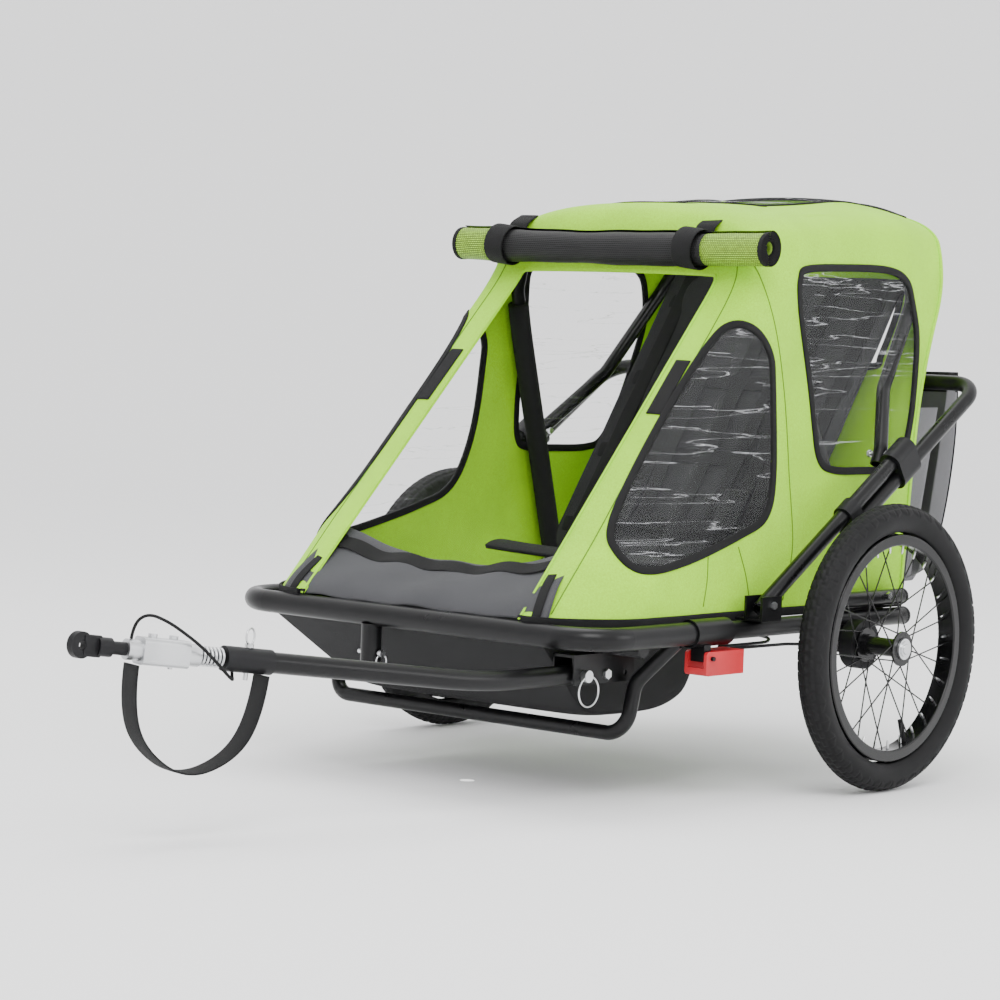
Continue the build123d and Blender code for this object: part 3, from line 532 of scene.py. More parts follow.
shoulder_rows = [
    [(175, -129, 702), (218, -121, 732), (241, -106, 736), (245, -30, 742), (246, 110, 746),
     (246, 270, 750), (241, 337, 742)],
    [(166, -127, 703), (206, -116, 762), (222, -92, 778), (228, -20, 786), (230, 110, 792),
     (232, 270, 800), (226, 339, 788)],
    [(120, -126, 704), (132, -113, 782), (136, -82, 803), (140, -10, 806), (144, 110, 812),
     (146, 275, 829), (142, 338, 812)],
    [(0, -126, 705), (0, -111, 790), (0, -82, 808), (0, -10, 810), (0, 110, 817),
     (0, 280, 838), (0, 338, 819)]]
WALL_HEIGHTS = [247, 300, 380, 460, 540, 620, 690]
left_net = [wall_row(z) for z in WALL_HEIGHTS] + shoulder_rows
right_net = [[(-x, y, z) for x, y, z in row] for row in left_net[-2::-1]]
COVER_ROWS, COVER_COLUMNS = 421, 141
cover_grid = loft(place(left_net + right_net), COVER_ROWS, COVER_COLUMNS)

# Slack in the cloth: shallow diagonal waves that die out at the hoops and hems
cover_y, cover_z = cover_grid[..., 1], cover_grid[..., 2]
slack = np.sin(cover_y * 21 + cover_z * 17) * np.sin(cover_z * 9 + 0.7)
slack += 0.5 * np.sin(cover_y * 47 - cover_z * 31)
SLACK_DEPTH = 0.0016
row_share = np.linspace(0, 1, COVER_COLUMNS)[None]
edge_fade = np.clip(row_share / 0.12, 0, 1) * np.clip((1 - row_share) / 0.12, 0, 1)
on_wall = np.abs(cover_grid[..., 0]) > 0.2
cover_grid[..., 0] += SLACK_DEPTH * slack * edge_fade * np.sign(cover_grid[..., 0]) * on_wall

# The front window wraps round the chamfer, so it is drawn and cut in a plane turned to face it:
# the first number of each point runs along that plane, the second is the height.
FACING = math.radians(52)
TURN = np.array([[math.cos(FACING), math.sin(FACING)], [math.sin(FACING), -math.cos(FACING)]])
FRONT_WINDOW = [(-180, 340), (-180, 372), (-141, 441), (-81, 531), (-21, 610), (12, 637), (48, 631),
                (74, 600), (80, 555), (81, 440), (66, 380), (20, 354), (-78, 322), (-147, 314)]
REAR_WINDOW = [(-30, 704), (-12, 718), (82, 723), (190, 723), (236, 708), (252, 676), (258, 630),
               (246, 570), (226, 505), (196, 450), (160, 437), (84, 436), (20, 438), (-8, 452),
               (-18, 500), (-24, 600), (-32, 670)]
front_window = smooth_line(np.array(FRONT_WINDOW) / 1000 + [math.sin(FACING) * AXLE_Y, 0], 12, True)
rear_window = smooth_line(place([(0, y, z) for y, z in REAR_WINDOW])[:, 1:], 12, True)


def gap_to(points, outline):
    """Signed distance of flat points to a closed outline, below zero inside, and the nearest spots."""
    start, end = outline, np.roll(outline, -1, 0)
    span = end - start
    share = ((points[:, None] - start) * span).sum(-1) / np.maximum((span * span).sum(-1), 1e-15)
    near = start + np.clip(share, 0, 1)[..., None] * span
    gap = np.linalg.norm(points[:, None] - near, axis=-1)
    best = gap.argmin(1)
    here = np.arange(len(points))
    upward = (start[:, 1] > points[:, 1:]) != (end[:, 1] > points[:, 1:])
    rise = np.where(np.abs(span[:, 1]) < 1e-12, 1e-12, span[:, 1])
    crossing = start[:, 0] + (points[:, 1:] - start[:, 1]) * span[:, 0] / rise
    inside = (upward & (points[:, :1] < crossing)).sum(1) % 2 == 1
    return np.where(inside, -1, 1) * gap[here, best], near[here, best]


def cut_window(points, axes, outline, where, snap):
    """Mark the points inside an outline, after pulling those close to it onto it."""
    chosen = np.flatnonzero(where)
    flat = points[np.ix_(chosen, axes)]
    gap, near = gap_to(flat, outline)
    close = np.abs(gap) < snap
    flat[close] = near[close]
    points[np.ix_(chosen, axes)] = flat
    inside = np.zeros(len(points), int)
    inside[chosen] = np.where(close, 0, np.where(gap < 0, -1, 1))
    return inside


cover_points = cover_grid.reshape(-1, 3)
cover_faces = quads(COVER_ROWS, COVER_COLUMNS)
whole_cover = BVHTree.FromPolygons(cover_points.tolist(), cover_faces.tolist())
side_zone = (np.abs(cover_points[:, 0]) > 0.2) & (cover_points[:, 2] < 0.735)
chamfer_zone = (np.abs(cover_points[:, 0]) > 0.16) & (cover_points[:, 2] < 0.69)
chamfer_zone &= cover_points[:, 1] < AXLE_Y - 0.04
side_sign = np.sign(cover_points[:, 0])
turned_points = cover_points.copy()
turned_points[:, :2] = np.stack([np.abs(cover_points[:, 0]), cover_points[:, 1]], 1) @ TURN
front_marks = cut_window(turned_points, [0, 2], front_window, chamfer_zone, 0.0022)
turned_back = turned_points[:, :2] @ TURN
cover_points[chamfer_zone, 0] = (side_sign * turned_back[:, 0])[chamfer_zone]
cover_points[chamfer_zone, 1] = turned_back[chamfer_zone, 1]
cover_points[chamfer_zone, 2] = turned_points[chamfer_zone, 2]
ROOF_OPENING = place([(110, 40, 0), (120, 60, 0), (120, 250, 0), (110, 270, 0), (-110, 270, 0),
                      (-120, 250, 0), (-120, 60, 0), (-110, 40, 0)])[:, :2]
roof_zone = cover_points[:, 2] > 0.77
window_marks = {
    "front_window": front_marks,
    "rear_window": cut_window(cover_points, [1, 2], rear_window, side_zone, 0.0022),
    "roof_opening": cut_window(cover_points, [0, 1], ROOF_OPENING, roof_zone, 0.0022)}


def faces_in(marks):
    """Faces whose corners lie inside or on an outline."""
    corners = marks[cover_faces]
    return (corners.min(1) < 0) & (corners.max(1) <= 0) | (corners.sum(1) <= -2)


def part_of_cover(name, keep, finish, lift=0.0):
    """The chosen faces of the cover's surface as a piece of their own."""
    faces = cover_faces[keep]
    used, renumbered = np.unique(faces, return_inverse=True)
    flat = cloth_map(cover_grid).reshape(-1, 2)[used]
    mesh = make_mesh(name, cover_points[used], renumbered.reshape(-1, 4), flat)
    piece = link_piece(name, mesh, finish, "frame")
    if lift:
        normals = np.zeros(len(mesh.vertices) * 3)
        mesh.vertices.foreach_get("normal", normals)
        shifted = cover_points[used] + lift * normals.reshape(-1, 3)
        mesh.vertices.foreach_set("co", shifted.ravel())
    return piece


def thicken(piece, thickness, offset=-1.0):
    """Give a surface its cloth thickness."""
    wall = piece.modifiers.new("thickness", "SOLIDIFY")
    wall.thickness = thickness
    wall.offset = offset
    return piece


opened = sum(faces_in(marks) for marks in window_marks.values()) > 0
cabin_cover = thicken(part_of_cover("cabin_cover_cloth", ~opened, LIME), 0.0009)
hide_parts("cabin_cover")

# ---------------------------------------------------------------- rear wall
# Lime panel of the same cloth as the cover, sewn to its rear edge, with a clear window
# across it at head height.
rear_net = []
for z in [248, 320, 400, 480, 560, 620, 680, 730, 772, 800]:
    half = wall_x(z) - 3 if z < 720 else np.interp(z, [720, 742, 788, 812, 822], [243, 240, 224, 142, 60])
    y = rear_y(z)
    rear_net.append([(half * s, y + 5 * (1 - s * s), z + (1 - s * s) * np.interp(z, [700, 800], [0, 20]))
                     for s in (-1, -0.97, -0.6, 0, 0.6, 0.97, 1)])
REAR_ROWS, REAR_COLUMNS = 121, 101
rear_grid = loft(place(rear_net), REAR_ROWS, REAR_COLUMNS)
rear_points = rear_grid.reshape(-1, 3)
rear_faces = quads(REAR_ROWS, REAR_COLUMNS)
rear_tree = BVHTree.FromPolygons(rear_points.tolist(), rear_faces.tolist())
BACK_WINDOW = [(-0.178, 0.6), (-0.178, 0.68), (-0.16, 0.7), (0, 0.702), (0.16, 0.7),
               (0.178, 0.68), (0.178, 0.6), (0.16, 0.58), (0, 0.578), (-0.16, 0.58)]
back_outline = smooth_line(np.array(BACK_WINDOW), 10, True)
back_marks = cut_window(rear_points, [0, 2], back_outline, rear_points[:, 2] > 0, 0.0022)
back_corners = back_marks[rear_faces]
back_open = back_corners.sum(1) <= -2
rear_uv = cloth_map(rear_grid)
rear_mesh = make_mesh("rear_wall_cloth", rear_points, rear_faces[~back_open], rear_uv)
rear_wall = link_piece("rear_wall_cloth", rear_mesh, LIME, "frame")
thicken(rear_wall, 0.0009)

# ---------------------------------------------------------------- windows
# Clear vinyl film with sharp creases from being folded, cut a little larger than each opening
# and stitched to the cover under black binding.
# The film's pale colour is painted highlight: it shows only along thin crease lines, and elsewhere the film
# is nearly clear.
FILM_WITH_PAINTED_HIGHLIGHTS = new_finish("clear_film", (0.88, 0.89, 0.93), 0.08, Alpha=0.05, Specular_IOR_Level=0.9,
                  Coat_Weight=0.6, Coat_Roughness=0.03)


def crease_film_and_paint_highlights(finish, depth):
    """Long straight creases: stretched noise drives the normal.

    Where the noise passes its mid level, the film's pale colour shows as thin bright lines: painted
    highlights along the creases.
    """
    tree = finish.node_tree
    position = tree.nodes.new("ShaderNodeTexCoord").outputs["Object"]
    turn = tree.nodes.new("ShaderNodeMapping")
    turn.inputs["Rotation"].default_value = (0.75, 0, 0)
    turn.inputs["Scale"].default_value = (1, 1.3, 26)
    noise = tree.nodes.new("ShaderNodeTexNoise")
    noise.inputs["Scale"].default_value = 1.6
    noise.inputs["Detail"].default_value = 5
    noise.inputs["Distortion"].default_value = 0.25
    bump = tree.nodes.new("ShaderNodeBump")
    bump.inputs["Distance"].default_value = depth
    tree.links.new(position, turn.inputs[0])
    tree.links.new(turn.outputs[0], noise.inputs["Vector"])
    tree.links.new(noise.outputs[0], bump.inputs["Height"])
    tree.links.new(bump.outputs[0], tree.nodes["Principled BSDF"].inputs["Normal"])
    # Painted highlight: alpha rises from 0.014 to 0.22 along the noise's mid level, so the pale film colour
    # shows as bright crease lines.
    level = math_node(tree, "ABSOLUTE", math_node(tree, "SUBTRACT", noise.outputs[0], 0.52))
    painted_highlight_lines = tree.nodes.new("ShaderNodeMapRange")
    painted_highlight_lines.inputs["From Max"].default_value = 0.006
    painted_highlight_lines.inputs["To Min"].default_value = 0.22
    painted_highlight_lines.inputs["To Max"].default_value = 0.014
    tree.links.new(level, painted_highlight_lines.inputs["Value"])
    tree.links.new(painted_highlight_lines.outputs[0], tree.nodes["Principled BSDF"].inputs["Alpha"])


crease_film_and_paint_highlights(FILM_WITH_PAINTED_HIGHLIGHTS, 0.006)
films = [part_of_cover(f"{label}_film", faces_in(window_marks[label]), FILM_WITH_PAINTED_HIGHLIGHTS, -0.0012)
         for label in ("front_window", "rear_window")]
films.append(link_piece("back_window_film", make_mesh("back_window_film", rear_points + [0, -0.001, 0],
                        rear_faces[back_open], rear_uv), FILM_WITH_PAINTED_HIGHLIGHTS, "frame"))
for film in films:
    thicken(film, 0.0004)
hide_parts("windows")


def on_cover(side, spots):
    """Points and outward normals of the cover where a line along X meets the wall at (y, z)."""
    hits = [whole_cover.ray_cast((side * 0.5, y, z), (-side, 0, 0)) for y, z in spots]
    hits = [h if h[0] else whole_cover.find_nearest((side * 0.26, y, z)) for h, (y, z) in zip(hits, spots)]
    points = np.array([h[0] for h in hits])
    normals = np.array([h[1] for h in hits])
    normals *= np.sign((normals * [side, 0, 0]).sum(1, keepdims=True))
    return points, normals


def on_chamfer(side, spots):
    """Points and outward normals where a line square to the turned plane meets the cover."""
    outward = TURN[1] * [side, 1]
    starts = np.stack([np.array([u, 0.6]) @ TURN for u, z in spots]) * [side, 1]
    origins = [(x, y, z) for (x, y), (u, z) in zip(starts, spots)]
    inward = (-outward[0], -outward[1], 0)
    hits = [whole_cover.ray_cast(origin, inward) for origin in origins]
    hits = [h if h[0] else whole_cover.find_nearest(origin) for h, origin in zip(hits, origins)]
    points = np.array([h[0] for h in hits])
    normals = np.array([h[1] for h in hits])
    normals *= np.sign((normals * [*outward, 0]).sum(1, keepdims=True))
    return points, normals


BINDING_WIDTH = 0.011


def binding(name, points, normals, closed=True, width=BINDING_WIDTH):
    """Folded tape over both faces of an edge."""
    return band(name, points - normals * 0.0024, normals, width, 0.0042, WEBBING, "frame",
                closed)


for side, label in ((1, "left"), (-1, "right")):
    binding(f"front_window_binding_{label}", *on_chamfer(side, front_window))
    binding(f"rear_window_binding_{label}", *on_cover(side, rear_window))
back_hits = [rear_tree.ray_cast((x, 1.5, z), (0, -1, 0)) for x, z in back_outline]
binding("back_window_binding", np.array([h[0] for h in back_hits]), np.tile([0, 1.0, 0], (len(back_hits), 1)))


# ---------------------------------------------------------------- seams and doorway tapes
# Stitched hems of the doorway, the seam over the front hoop and the panel joins, in lime thread,
# and hook tape on both sides of the doorway.
SEAM = cloth_finish("seam_thread", (0.10, 0.24, 0.012), 1500, 0.0001, 0.0, 0.8)


def cover_column(share, first=0.0, last=1.0, half=0):
    """The cover's points along one column, from a share of the half row count to another."""
    column = int(round(share * (COVER_COLUMNS - 1)))
    rows = np.arange(int(first * COVER_ROWS / 2), int(last * COVER_ROWS / 2))
    rows = rows if half == 0 else COVER_ROWS - 1 - rows
    ahead = cover_grid[rows, min(column + 1, COVER_COLUMNS - 1)] - cover_grid[rows, max(column - 1, 0)]
    up = np.gradient(cover_grid[rows, column], axis=0)
    normals = unit(np.cross(ahead, up))
    points = cover_grid[rows, column]
    normals *= np.sign((normals[:, :1] * points[:, :1]))
    return points, normals


def seam(name, points, normals, width=0.0014):
    """A row of thread lying on the cloth."""
    return band(name, points - normals * 0.0002, normals, width, 0.0009, SEAM, "frame")


PILLAR_SEAM = [(-118, 262), (-85, 339), (-82, 440), (-82, 543), (-94, 632), (-112, 700), (-118, 722)]
for side, label, half in ((1, "left", 0), (-1, "right", 1)):
    seam(f"door_hem_seam_{label}", *cover_column(0.10, 0.01, 0.72, half))
    pillar = smooth_line(place([(0, y, z) for y, z in PILLAR_SEAM])[:, 1:], 12)
    seam(f"pillar_seam_{label}", *on_cover(side, pillar))
    for number, (top, foot) in enumerate((((-282, 327), (-300, 262)), ((-212, 338), (-196, 268)))):
        line = place([(0, *top), (0, (top[0] + foot[0]) / 2 + 3, (top[1] + foot[1]) / 2), (0, *foot)])[:, 1:]
        seam(f"panel_seam_{label}_{number}", *on_cover(side, smooth_line(line, 8)))
    tape_points, tape_normals = cover_column(0.055, 0.0, 0.9, half)
    at_height = (tape_points[:, 2] > 0.510) & (tape_points[:, 2] < 0.586) & (side * tape_points[:, 0] > 0)
    tape_points, tape_normals = tape_points[at_height], tape_normals[at_height]
    band(f"hook_tape_{label}", tape_points, tape_normals, 0.024, 0.0016, WEBBING, "frame")
    edge_points, edge_normals = cover_column(0.004, 0.0, 0.72, half)
    band(f"door_edge_{label}", edge_points - edge_normals * 0.0016, edge_normals, 0.004, 0.0030, LIME,
         "frame")
    rear_points_edge, rear_normals_edge = cover_column(1.0, 0.0, 0.86, half)
    band(f"rear_corner_piping_{label}", rear_points_edge - rear_normals_edge * 0.002, rear_normals_edge,
         0.006, 0.004, LIME, "frame")
    foot_points = cover_grid[0 if half == 0 else -1]
    foot_outward = np.tile([side * 1.0, 0, 0], (len(foot_points), 1))
    band(f"foot_binding_{label}", foot_points, foot_outward, 0.012, 0.003, WEBBING, "frame")

# ---------------------------------------------------------------- insect mesh, rolled up
# The doorway's knitted mesh, rolled along the roof's front edge: a loose spiral with bound ends.
ROLL_Y, ROLL_Z = AXLE_Y - 0.146, 0.742
ROLL_HALF = 0.279
ROLL_TURNS = 6.6
ROLL_START = 2.3
MESH_LENGTH = 0.60
spiral = np.linspace(0, 1, 330)
spiral_angle = spiral * ROLL_TURNS * 2 * math.pi
spiral_radius = 0.0066 + 0.0166 * spiral ** 0.9
spiral_radius = spiral_radius * (1 + 0.03 * np.sin(spiral_angle * 2 + 0.6)) + 0.0015 * spiral**8


def mesh_finish(name, hole_colour, thread_colour_and_painted_glint):
    """Knitted mesh: black threads round small staggered holes, through which the inside shows. The thread
    colour, given per finish, is raised above black on the black mesh as painted glints.
    """
    finish = new_finish(name, (0.02, 0.02, 0.02), 0.5, Specular_IOR_Level=0.25)
    tree = finish.node_tree
    cloth = tree.nodes.new("ShaderNodeUVMap")
    cloth.uv_map = "cloth"
    brick = tree.nodes.new("ShaderNodeTexBrick")
    brick.inputs["Scale"].default_value = 260
    brick.inputs["Mortar Size"].default_value = 0.13
    brick.inputs["Mortar Smooth"].default_value = 0.6
    brick.inputs["Brick Width"].default_value = 1.0
    brick.inputs["Row Height"].default_value = 0.5
    brick.inputs["Color1"].default_value = (*hole_colour, 1)
    brick.inputs["Color2"].default_value = (*[c * 0.7 for c in hole_colour], 1)
    # The mortar lines are the threads; on the black mesh their colour is lifted above black as painted
    # glints.
    brick.inputs["Mortar"].default_value = (*thread_colour_and_painted_glint, 1)
    tree.links.new(cloth.outputs[0], brick.inputs["Vector"])
    tree.links.new(brick.outputs["Color"], tree.nodes["Principled BSDF"].inputs["Base Color"])
    bump = tree.nodes.new("ShaderNodeBump")
    bump.inputs["Distance"].default_value = 0.0006
    tree.links.new(brick.outputs["Fac"], bump.inputs["Height"])
    tree.links.new(bump.outputs[0], tree.nodes["Principled BSDF"].inputs["Normal"])
    return finish


# Painted highlight: the black mesh's threads (0.02) are lighter than its holes (0.003) to stand for glints.
BLACK_MESH = mesh_finish("black_knitted_mesh", (0.003, 0.003, 0.003), (0.02, 0.02, 0.021))
LIME_MESH = mesh_finish("mesh_over_lime", (0.42, 0.75, 0.05), (0.012, 0.012, 0.012))


def roll_piece(name, x0, x1, columns, finish, grow=0.0):
    """A length of the roll between two places along X."""
    x = np.linspace(x0, x1, columns)[None]
    bulge = 1 + 0.04 * np.sin(x * 23) + 0.02 * np.sin(x * 61 + 1)
    radius = (spiral_radius[:, None] + grow) * bulge
    angle = spiral_angle[:, None] - ROLL_START
    sag = -0.003 * (1 - (x / ROLL_HALF) ** 2)
    points = np.stack(np.broadcast_arrays(x, ROLL_Y + radius * np.cos(angle),
                                          ROLL_Z + sag + radius * np.sin(angle)), -1)
    uv = np.stack(np.broadcast_arrays(x, (spiral * MESH_LENGTH)[:, None]), -1)
    mesh = make_mesh(name, points, quads(len(spiral), columns), uv)
    return link_piece(name, mesh, finish, "frame")


mesh_roll = thicken(roll_piece("insect_mesh_roll", -0.219, 0.176, 40, BLACK_MESH), 0.0005, 0)
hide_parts("mesh_roll")
for label, x0, x1 in (("right", -ROLL_HALF, -0.2185), ("left", 0.1755, ROLL_HALF)):
    thicken(roll_piece(f"insect_mesh_end_{label}", x0, x1, 12, LIME_MESH, 0.0003), 0.0005, 0)
    edge = x0 if label == "right" else x1
    bulge = 1 + 0.04 * math.sin(edge * 23) + 0.02 * math.sin(edge * 61 + 1)
    keep = spiral > 0.12
    end_radius = spiral_radius[keep] * bulge
    end_angle = spiral_angle[keep] - ROLL_START
    loop = np.stack([np.full(keep.sum(), edge), ROLL_Y + end_radius * np.cos(end_angle),
                     ROLL_Z + end_radius * np.sin(end_angle)], -1)
    outward = unit(loop - [edge, ROLL_Y, ROLL_Z])
    band(f"roll_end_binding_{label}", loop[::2], outward[::2], 0.007, 0.0012, WEBBING, "frame")

TIE_WIDTH = 0.034
TIE_TURN = np.linspace(0, 2 * math.pi, 48, endpoint=False)
for label, x in (("right", -0.197), ("left", 0.148)):
    around = np.stack([np.full(48, x) + 0.003 * np.sin(TIE_TURN), ROLL_Y + 0.0272 * np.cos(TIE_TURN),
                       ROLL_Z - 0.001 + 0.0268 * np.sin(TIE_TURN)], -1)
    tie_outward = unit(around - [x, ROLL_Y, ROLL_Z - 0.001])
    band(f"roll_tie_{label}", around, tie_outward, TIE_WIDTH, 0.002, WEBBING, "frame", True)
    strap = smooth_line([(x, ROLL_Y + 0.022, ROLL_Z + 0.010), (x, ROLL_Y + 0.030, ROLL_Z + 0.030),
                         (x, ROLL_Y + 0.052, ROLL_Z + 0.042)], 8)
    band(f"roll_tie_tail_{label}", strap, (0, -0.6, 0.8), TIE_WIDTH, 0.002, WEBBING, "frame")

# ---------------------------------------------------------------- rain flap on the roof
# A clear film sheet over the roof opening, with a black binding sewn round its edge. The
# opening below it is bound in the same tape.
flap_net = []
for y in [-40, 40, 150, 260, 326]:
    rise = np.interp(y, [-40, 100, 280, 326], [805, 818, 838, 826]) + 3
    flap_net.append([(s * 176, y, rise - 26 * abs(s) ** 3 - (7 if abs(s) == 1 and y < 0 else 0))
                     for s in (-1, -0.75, -0.4, 0, 0.4, 0.75, 1)])
flap_grid = loft(place(flap_net), 61, 61)
flap_grid[..., 2] += 0.002 * np.sin(flap_grid[..., 1] * 50) * np.sin(flap_grid[..., 0] * 30)
flap_uv = cloth_map(flap_grid)
flap_mesh = make_mesh("rain_flap", flap_grid, quads(61, 61)[:, ::-1], flap_uv)
# The flap's film carries the same painted crease highlights.
flap = link_piece("rain_flap", flap_mesh, FILM_WITH_PAINTED_HIGHLIGHTS, "frame")
thicken(flap, 0.0004, 1)
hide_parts("roof_cover")
flap_edge = np.concatenate([flap_grid[0, :-1], flap_grid[:-1, -1], flap_grid[-1, :0:-1], flap_grid[:0:-1, 0]])
band("rain_flap_binding", flap_edge - [0, 0, 0.001], (0, 0, 1), 0.012, 0.003, WEBBING, "frame",
     True)
opening_edge = smooth_line(ROOF_OPENING, 8, True)
opening_hits = [whole_cover.ray_cast((x, y, 1.0), (0, 0, -1)) for x, y in opening_edge]
opening_points = np.array([h[0] for h in opening_hits])
binding("roof_opening_binding", opening_points, np.tile([0, 0, 1.0], (len(opening_points), 1)))

# ---------------------------------------------------------------- foot panel and foot tub
# Grey polyester panel laid back from the front tube to a sagging elastic edge, with a black band,
# and the black tub below it for the children's feet.
GREY = cloth_finish("grey_polyester", (0.052, 0.053, 0.060), 900, 0.0003, 0.004, 0.75, 0.12)
BLACK_CLOTH = cloth_finish("black_polyester", (0.006, 0.006, 0.007), 900, 0.0002, 0.004, 0.7, 0.03)
panel_net = []
panel_sections = [(-541, 246, 240, 0), (-535, 262, 240, 0), (-505, 292, 228, 10), (-470, 318, 220, 24),
                  (-446, 336, 212, 34), (-432, 330, 210, 34), (-428, 290, 208, 20), (-427, 246, 207, 0)]
for y, z, half, dip in panel_sections:
    panel_net.append([(half * s, y, z - dip * (1 - s * s)) for s in (-1, -0.75, -0.4, 0, 0.4, 0.75, 1)])
panel_grid = loft(place(panel_net), 81, 121)
px, py = panel_grid[..., 0], panel_grid[..., 1]
panel_fade = np.clip((0.5 - np.abs(np.linspace(0, 1, 81) - 0.3)) / 0.3, 0, 1)[:, None]
panel_waves = 0.0022 * np.sin(px * 70 + py * 40) * np.sin(py * 30) + 0.0016 * np.sin(px * 38 - py * 60)
panel_grid[..., 2] += panel_fade * panel_waves
panel_uv = cloth_map(panel_grid)
panel_mesh = make_mesh("foot_panel", panel_grid, quads(81, 121)[:, ::-1], panel_uv)
foot_panel = link_piece("foot_panel", panel_mesh, GREY, "frame")
thicken(foot_panel, 0.0012, 1)
band("foot_panel_band", panel_grid[34] + [0, 0, 0.0012], (0, -0.5, 0.85), 0.024, 0.0016, WEBBING, "frame")
for side, column in ((1, -5), (-1, 4)):
    band(f"foot_panel_edge_{'left' if side > 0 else 'right'}", panel_grid[2:40, column] + [0, 0, 0.0014],
         (0, -0.6, 0.8), 0.014, 0.0016, WEBBING, "frame")

tub_sections = [((-538, 238), 296, 214), ((-500, 200), 268, 213), ((-462, 160), 236, 211),
                ((-432, 124), 212, 208), ((-405, 109), 206, 206), ((-320, 106), 204, 204),
                ((-238, 108), 205, 205), ((-184, 146), 208, 208), ((-170, 244), 210, 210)]
tub_net = []
for (y, z), far, near in tub_sections:
    rim = z + (6 if z < 130 else 0)
    tub_net.append([(-far, y, rim), (-far * 0.97, y, z), (-far * 0.5, y, z - 1), (0, y, z - 1),
                    (near * 0.5, y, z - 1), (near * 0.97, y, z), (near, y, rim)])
tub_grid = loft(place(tub_net), 61, 61)
tub_mesh = make_mesh("foot_tub", tub_grid, quads(61, 61)[:, ::-1], cloth_map(tub_grid))
foot_tub = link_piece("foot_tub", tub_mesh, BLACK_CLOTH, "frame")
thicken(foot_tub, 0.0012, 1)
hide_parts("footwell")
for side, name in ((1, "left"), (-1, "right")):
    rim_row = tub_grid[:, -1 if side > 0 else 0]
    top_z = np.interp(rim_row[:, 1], place([(0, -538, 0), (0, -170, 0)])[:, 1], [0.244, 0.250])
    rise = np.linspace(0, 1, 12)[None, :, None]
    top = np.stack([np.full(61, side * 0.213) if side > 0 else np.interp(rim_row[:, 1],
                    place([(0, -538, 0), (0, -400, 0)])[:, 1], [-0.298, -0.214]), rim_row[:, 1], top_z], -1)
    wall = rim_row[:, None] * (1 - rise) + top[:, None] * rise
    cheek = link_piece(f"foot_tub_side_{name}", make_mesh(f"foot_tub_side_{name}", wall, quads(61, 12),
                       cloth_map(wall)), BLACK_CLOTH, "frame")
    thicken(cheek, 0.0012, 0)

# ---------------------------------------------------------------- seat
# Sling seat and reclined back of grey polyester, carried by a grid of black webbing.
SEAT_BACK = ((-2, 282), (288, 708))
SEAT_HALF = 196
BACK_HALF = 214


def seat_point(fraction, lift=0.0):
    """Side-view point at a fraction of the seat back's height, lifted off its front face, in mm."""
    (y0, z0), (y1, z1) = SEAT_BACK
    turn = math.atan2(z1 - z0, y1 - y0)
    y = y0 + (y1 - y0) * fraction - lift * math.sin(turn)
    z = z0 + (z1 - z0) * fraction + lift * math.cos(turn)
    return y, z


seat_net = []
for y, z in ((-166, 296), (-150, 306), (-90, 297), (-20, 284), (4, 282)):
    seat_net.append([(SEAT_HALF * s, y, z - 5 * (1 - s * s)) for s in (-1, -0.8, -0.4, 0, 0.4, 0.8, 1)])
for fraction in (0.06, 0.2, 0.4, 0.6, 0.8, 0.98, 1.0):
    seat_net.append([(BACK_HALF * s, *seat_point(fraction, -6 * (1 - s * s) * math.sin(math.pi * fraction)))
                     for s in (-1, -0.8, -0.4, 0, 0.4, 0.8, 1)])
seat_grid = loft(place(seat_net), 121, 81)
# Painted shade: the grey seat cloth is coloured near black (0.016) to stand for the shade inside the closed
# cabin.
SEAT_CLOTH_PAINTED_SHADE = cloth_finish("seat_polyester_painted_shade", (0.016, 0.016, 0.018), 900, 0.0003, 0.004, 0.8, 0.04)
puff_up = np.abs(np.sin(np.linspace(0, 6 * math.pi, 121)))[:, None]
seat_puff = np.abs(np.sin(seat_grid[..., 0] * math.pi / 0.098)) * puff_up
seat_grid[..., 1] -= 0.0035 * seat_puff
seat_mesh = make_mesh("seat_sling", seat_grid, quads(121, 81)[:, ::-1], cloth_map(seat_grid))
seat = link_piece("seat_sling", seat_mesh, SEAT_CLOTH_PAINTED_SHADE, "frame")
thicken(seat, 0.006, -1)
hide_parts("seat")
back_tilt = math.atan2(SEAT_BACK[1][1] - SEAT_BACK[0][1], SEAT_BACK[1][0] - SEAT_BACK[0][0])
toward_child = np.array([0, -math.sin(back_tilt), math.cos(back_tilt)])
for number, fraction in enumerate((0.1, 0.36, 0.62, 0.9)):
    y, z = seat_point(fraction, 4)
    across = place([(x, y, z) for x in np.linspace(-BACK_HALF, BACK_HALF, 30)])
    band(f"seat_webbing_row_{number}", across, toward_child, 0.026, 0.002, WEBBING, "frame")
for number, x in enumerate((-180, -98, 0, 98, 180)):
    upward = place([(x, *seat_point(fraction, 5)) for fraction in np.linspace(0.02, 0.99, 30)])
    band(f"seat_webbing_column_{number}", upward, toward_child, 0.026, 0.002, WEBBING, "frame")

